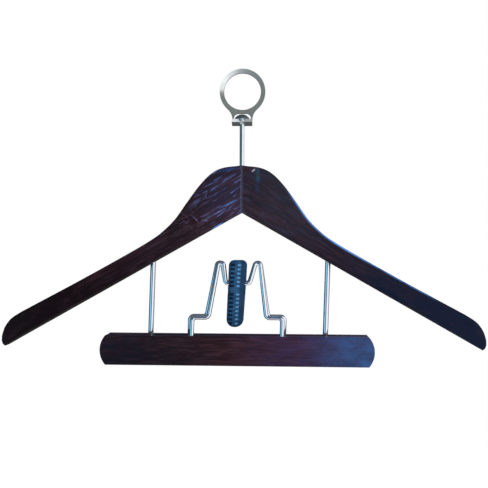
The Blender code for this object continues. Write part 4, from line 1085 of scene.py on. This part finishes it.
def make_studio_wall():
    """A round studio that only reflections see: its tone changes with direction and height."""
    finish = Finish("studio_wall")
    x, y, z = finish.axes()
    share = x.math("ARCTAN2", x, y * -1.0) / FULL_TURN + 0.5
    low, middle, high, patch = (finish.ramp(share, *stops)
                                for stops in (LOW_STOPS, MIDDLE_STOPS, HIGH_STOPS, PATCH_STOPS))
    ahead = share.smooth(0.43, 0.445) * (1 - share.smooth(0.53, 0.56))
    behind = share.smooth(0.8, 0.84) * (1 - share.smooth(0.95, 0.98)) * z.smooth(0.0, 0.15)
    tone = low
    for mask, over in ((z.smooth(0.06, 0.09), middle),
                       (z.smooth(0.2, 0.25) * ahead, (0.2, 0.215, 0.205)),
                       (z.smooth(0.312, 0.322) * ahead, high),
                       (z.smooth(0.42, 0.48) * ahead, (0.04, 0.048, 0.085)),
                       (behind, (0.35, 0.65, 1.0)),
                       (z.smooth(0.8, 1.05), WALL_DIM),
                       (z.smooth(1.02, 1.06) * (1 - z.smooth(1.28, 1.34)), patch),
                       (z.smooth(1.64, 1.74), WALL_PALE),
                       (y.smooth(0.2, 0.5) * (1 - z.smooth(-0.585, -0.55)), (0.095, 0.095, 0.095))):
        tone = finish.blend(mask, tone, over)
    finish.show(finish.add("Emission", {}, {"Color": tone, "Strength": 1.0}))
    angles = np.linspace(0, FULL_TURN, 96, endpoint=False)
    rows = [np.stack([radius * np.cos(angles), radius * np.sin(angles), np.full(96, height)], axis=1)
            for radius, height in WALL_PROFILE]
    wall = surface("studio_wall", np.stack(rows), capped=False)
    wall.data.materials.append(finish.material)
    for ray in ("camera", "diffuse", "shadow", "transmission", "volume_scatter"):
        setattr(wall, "visible_" + ray, False)


def make_world():
    """White for what the camera, gloss and glass see, and a plain grey level for the rest."""
    world = bpy.data.worlds.new("plain_white")
    bpy.context.scene.world = world
    world.use_nodes = True
    nodes = Nodes(world.node_tree)
    ground = nodes.tree.nodes["Background"]
    nodes.put(ground.inputs["Color"], WHITE)
    nodes.put(ground.inputs["Strength"], WORLD_STRENGTH)
    white = nodes.add("Background", {}, {"Color": WHITE, "Strength": 1.0})
    mix = nodes.add("MixShader", {}, {0: nodes.seen(), 1: Wire(nodes, ground.outputs[0]), 2: white})
    nodes.show(mix, "World Output")


def make_lamp(name, place, aim_z, size, power, colour):
    """A soft square lamp that looks at a height on the middle line and doesn't show in gloss."""
    lamp = bpy.data.lights.new(name, "AREA")
    lamp.shape, lamp.size, lamp.energy, lamp.color = "SQUARE", size, power, colour
    item = placed(name, lamp)
    item.location = place
    item.rotation_euler = (Vector((0, 0, aim_z)) - Vector(place)).to_track_quat("-Z", "Y").to_euler()
    item.visible_glossy = False


def make_camera():
    """The photograph's view: nearly square to the front, a little from the right, rolled slightly."""
    camera = bpy.data.cameras.new("camera")
    camera.lens = CAMERA_LENS
    item = placed("camera", camera)
    azimuth = radians(2.41)
    place = CAMERA_AIM + Vector((sin(azimuth), -cos(azimuth), 0)) * CAMERA_DISTANCE
    look = (CAMERA_AIM - place).to_track_quat("-Z", "Y").to_matrix().to_4x4()
    roll = Matrix.Rotation(radians(0.25), 4, "Z")
    item.matrix_world = Matrix.Translation(place) @ look @ roll
    bpy.context.scene.camera = item


build_hanger()
make_floor()
make_studio_wall()
make_world()
for values in LAMPS:
    make_lamp(*values)
make_camera()
bpy.context.scene.view_settings.view_transform = "Standard"
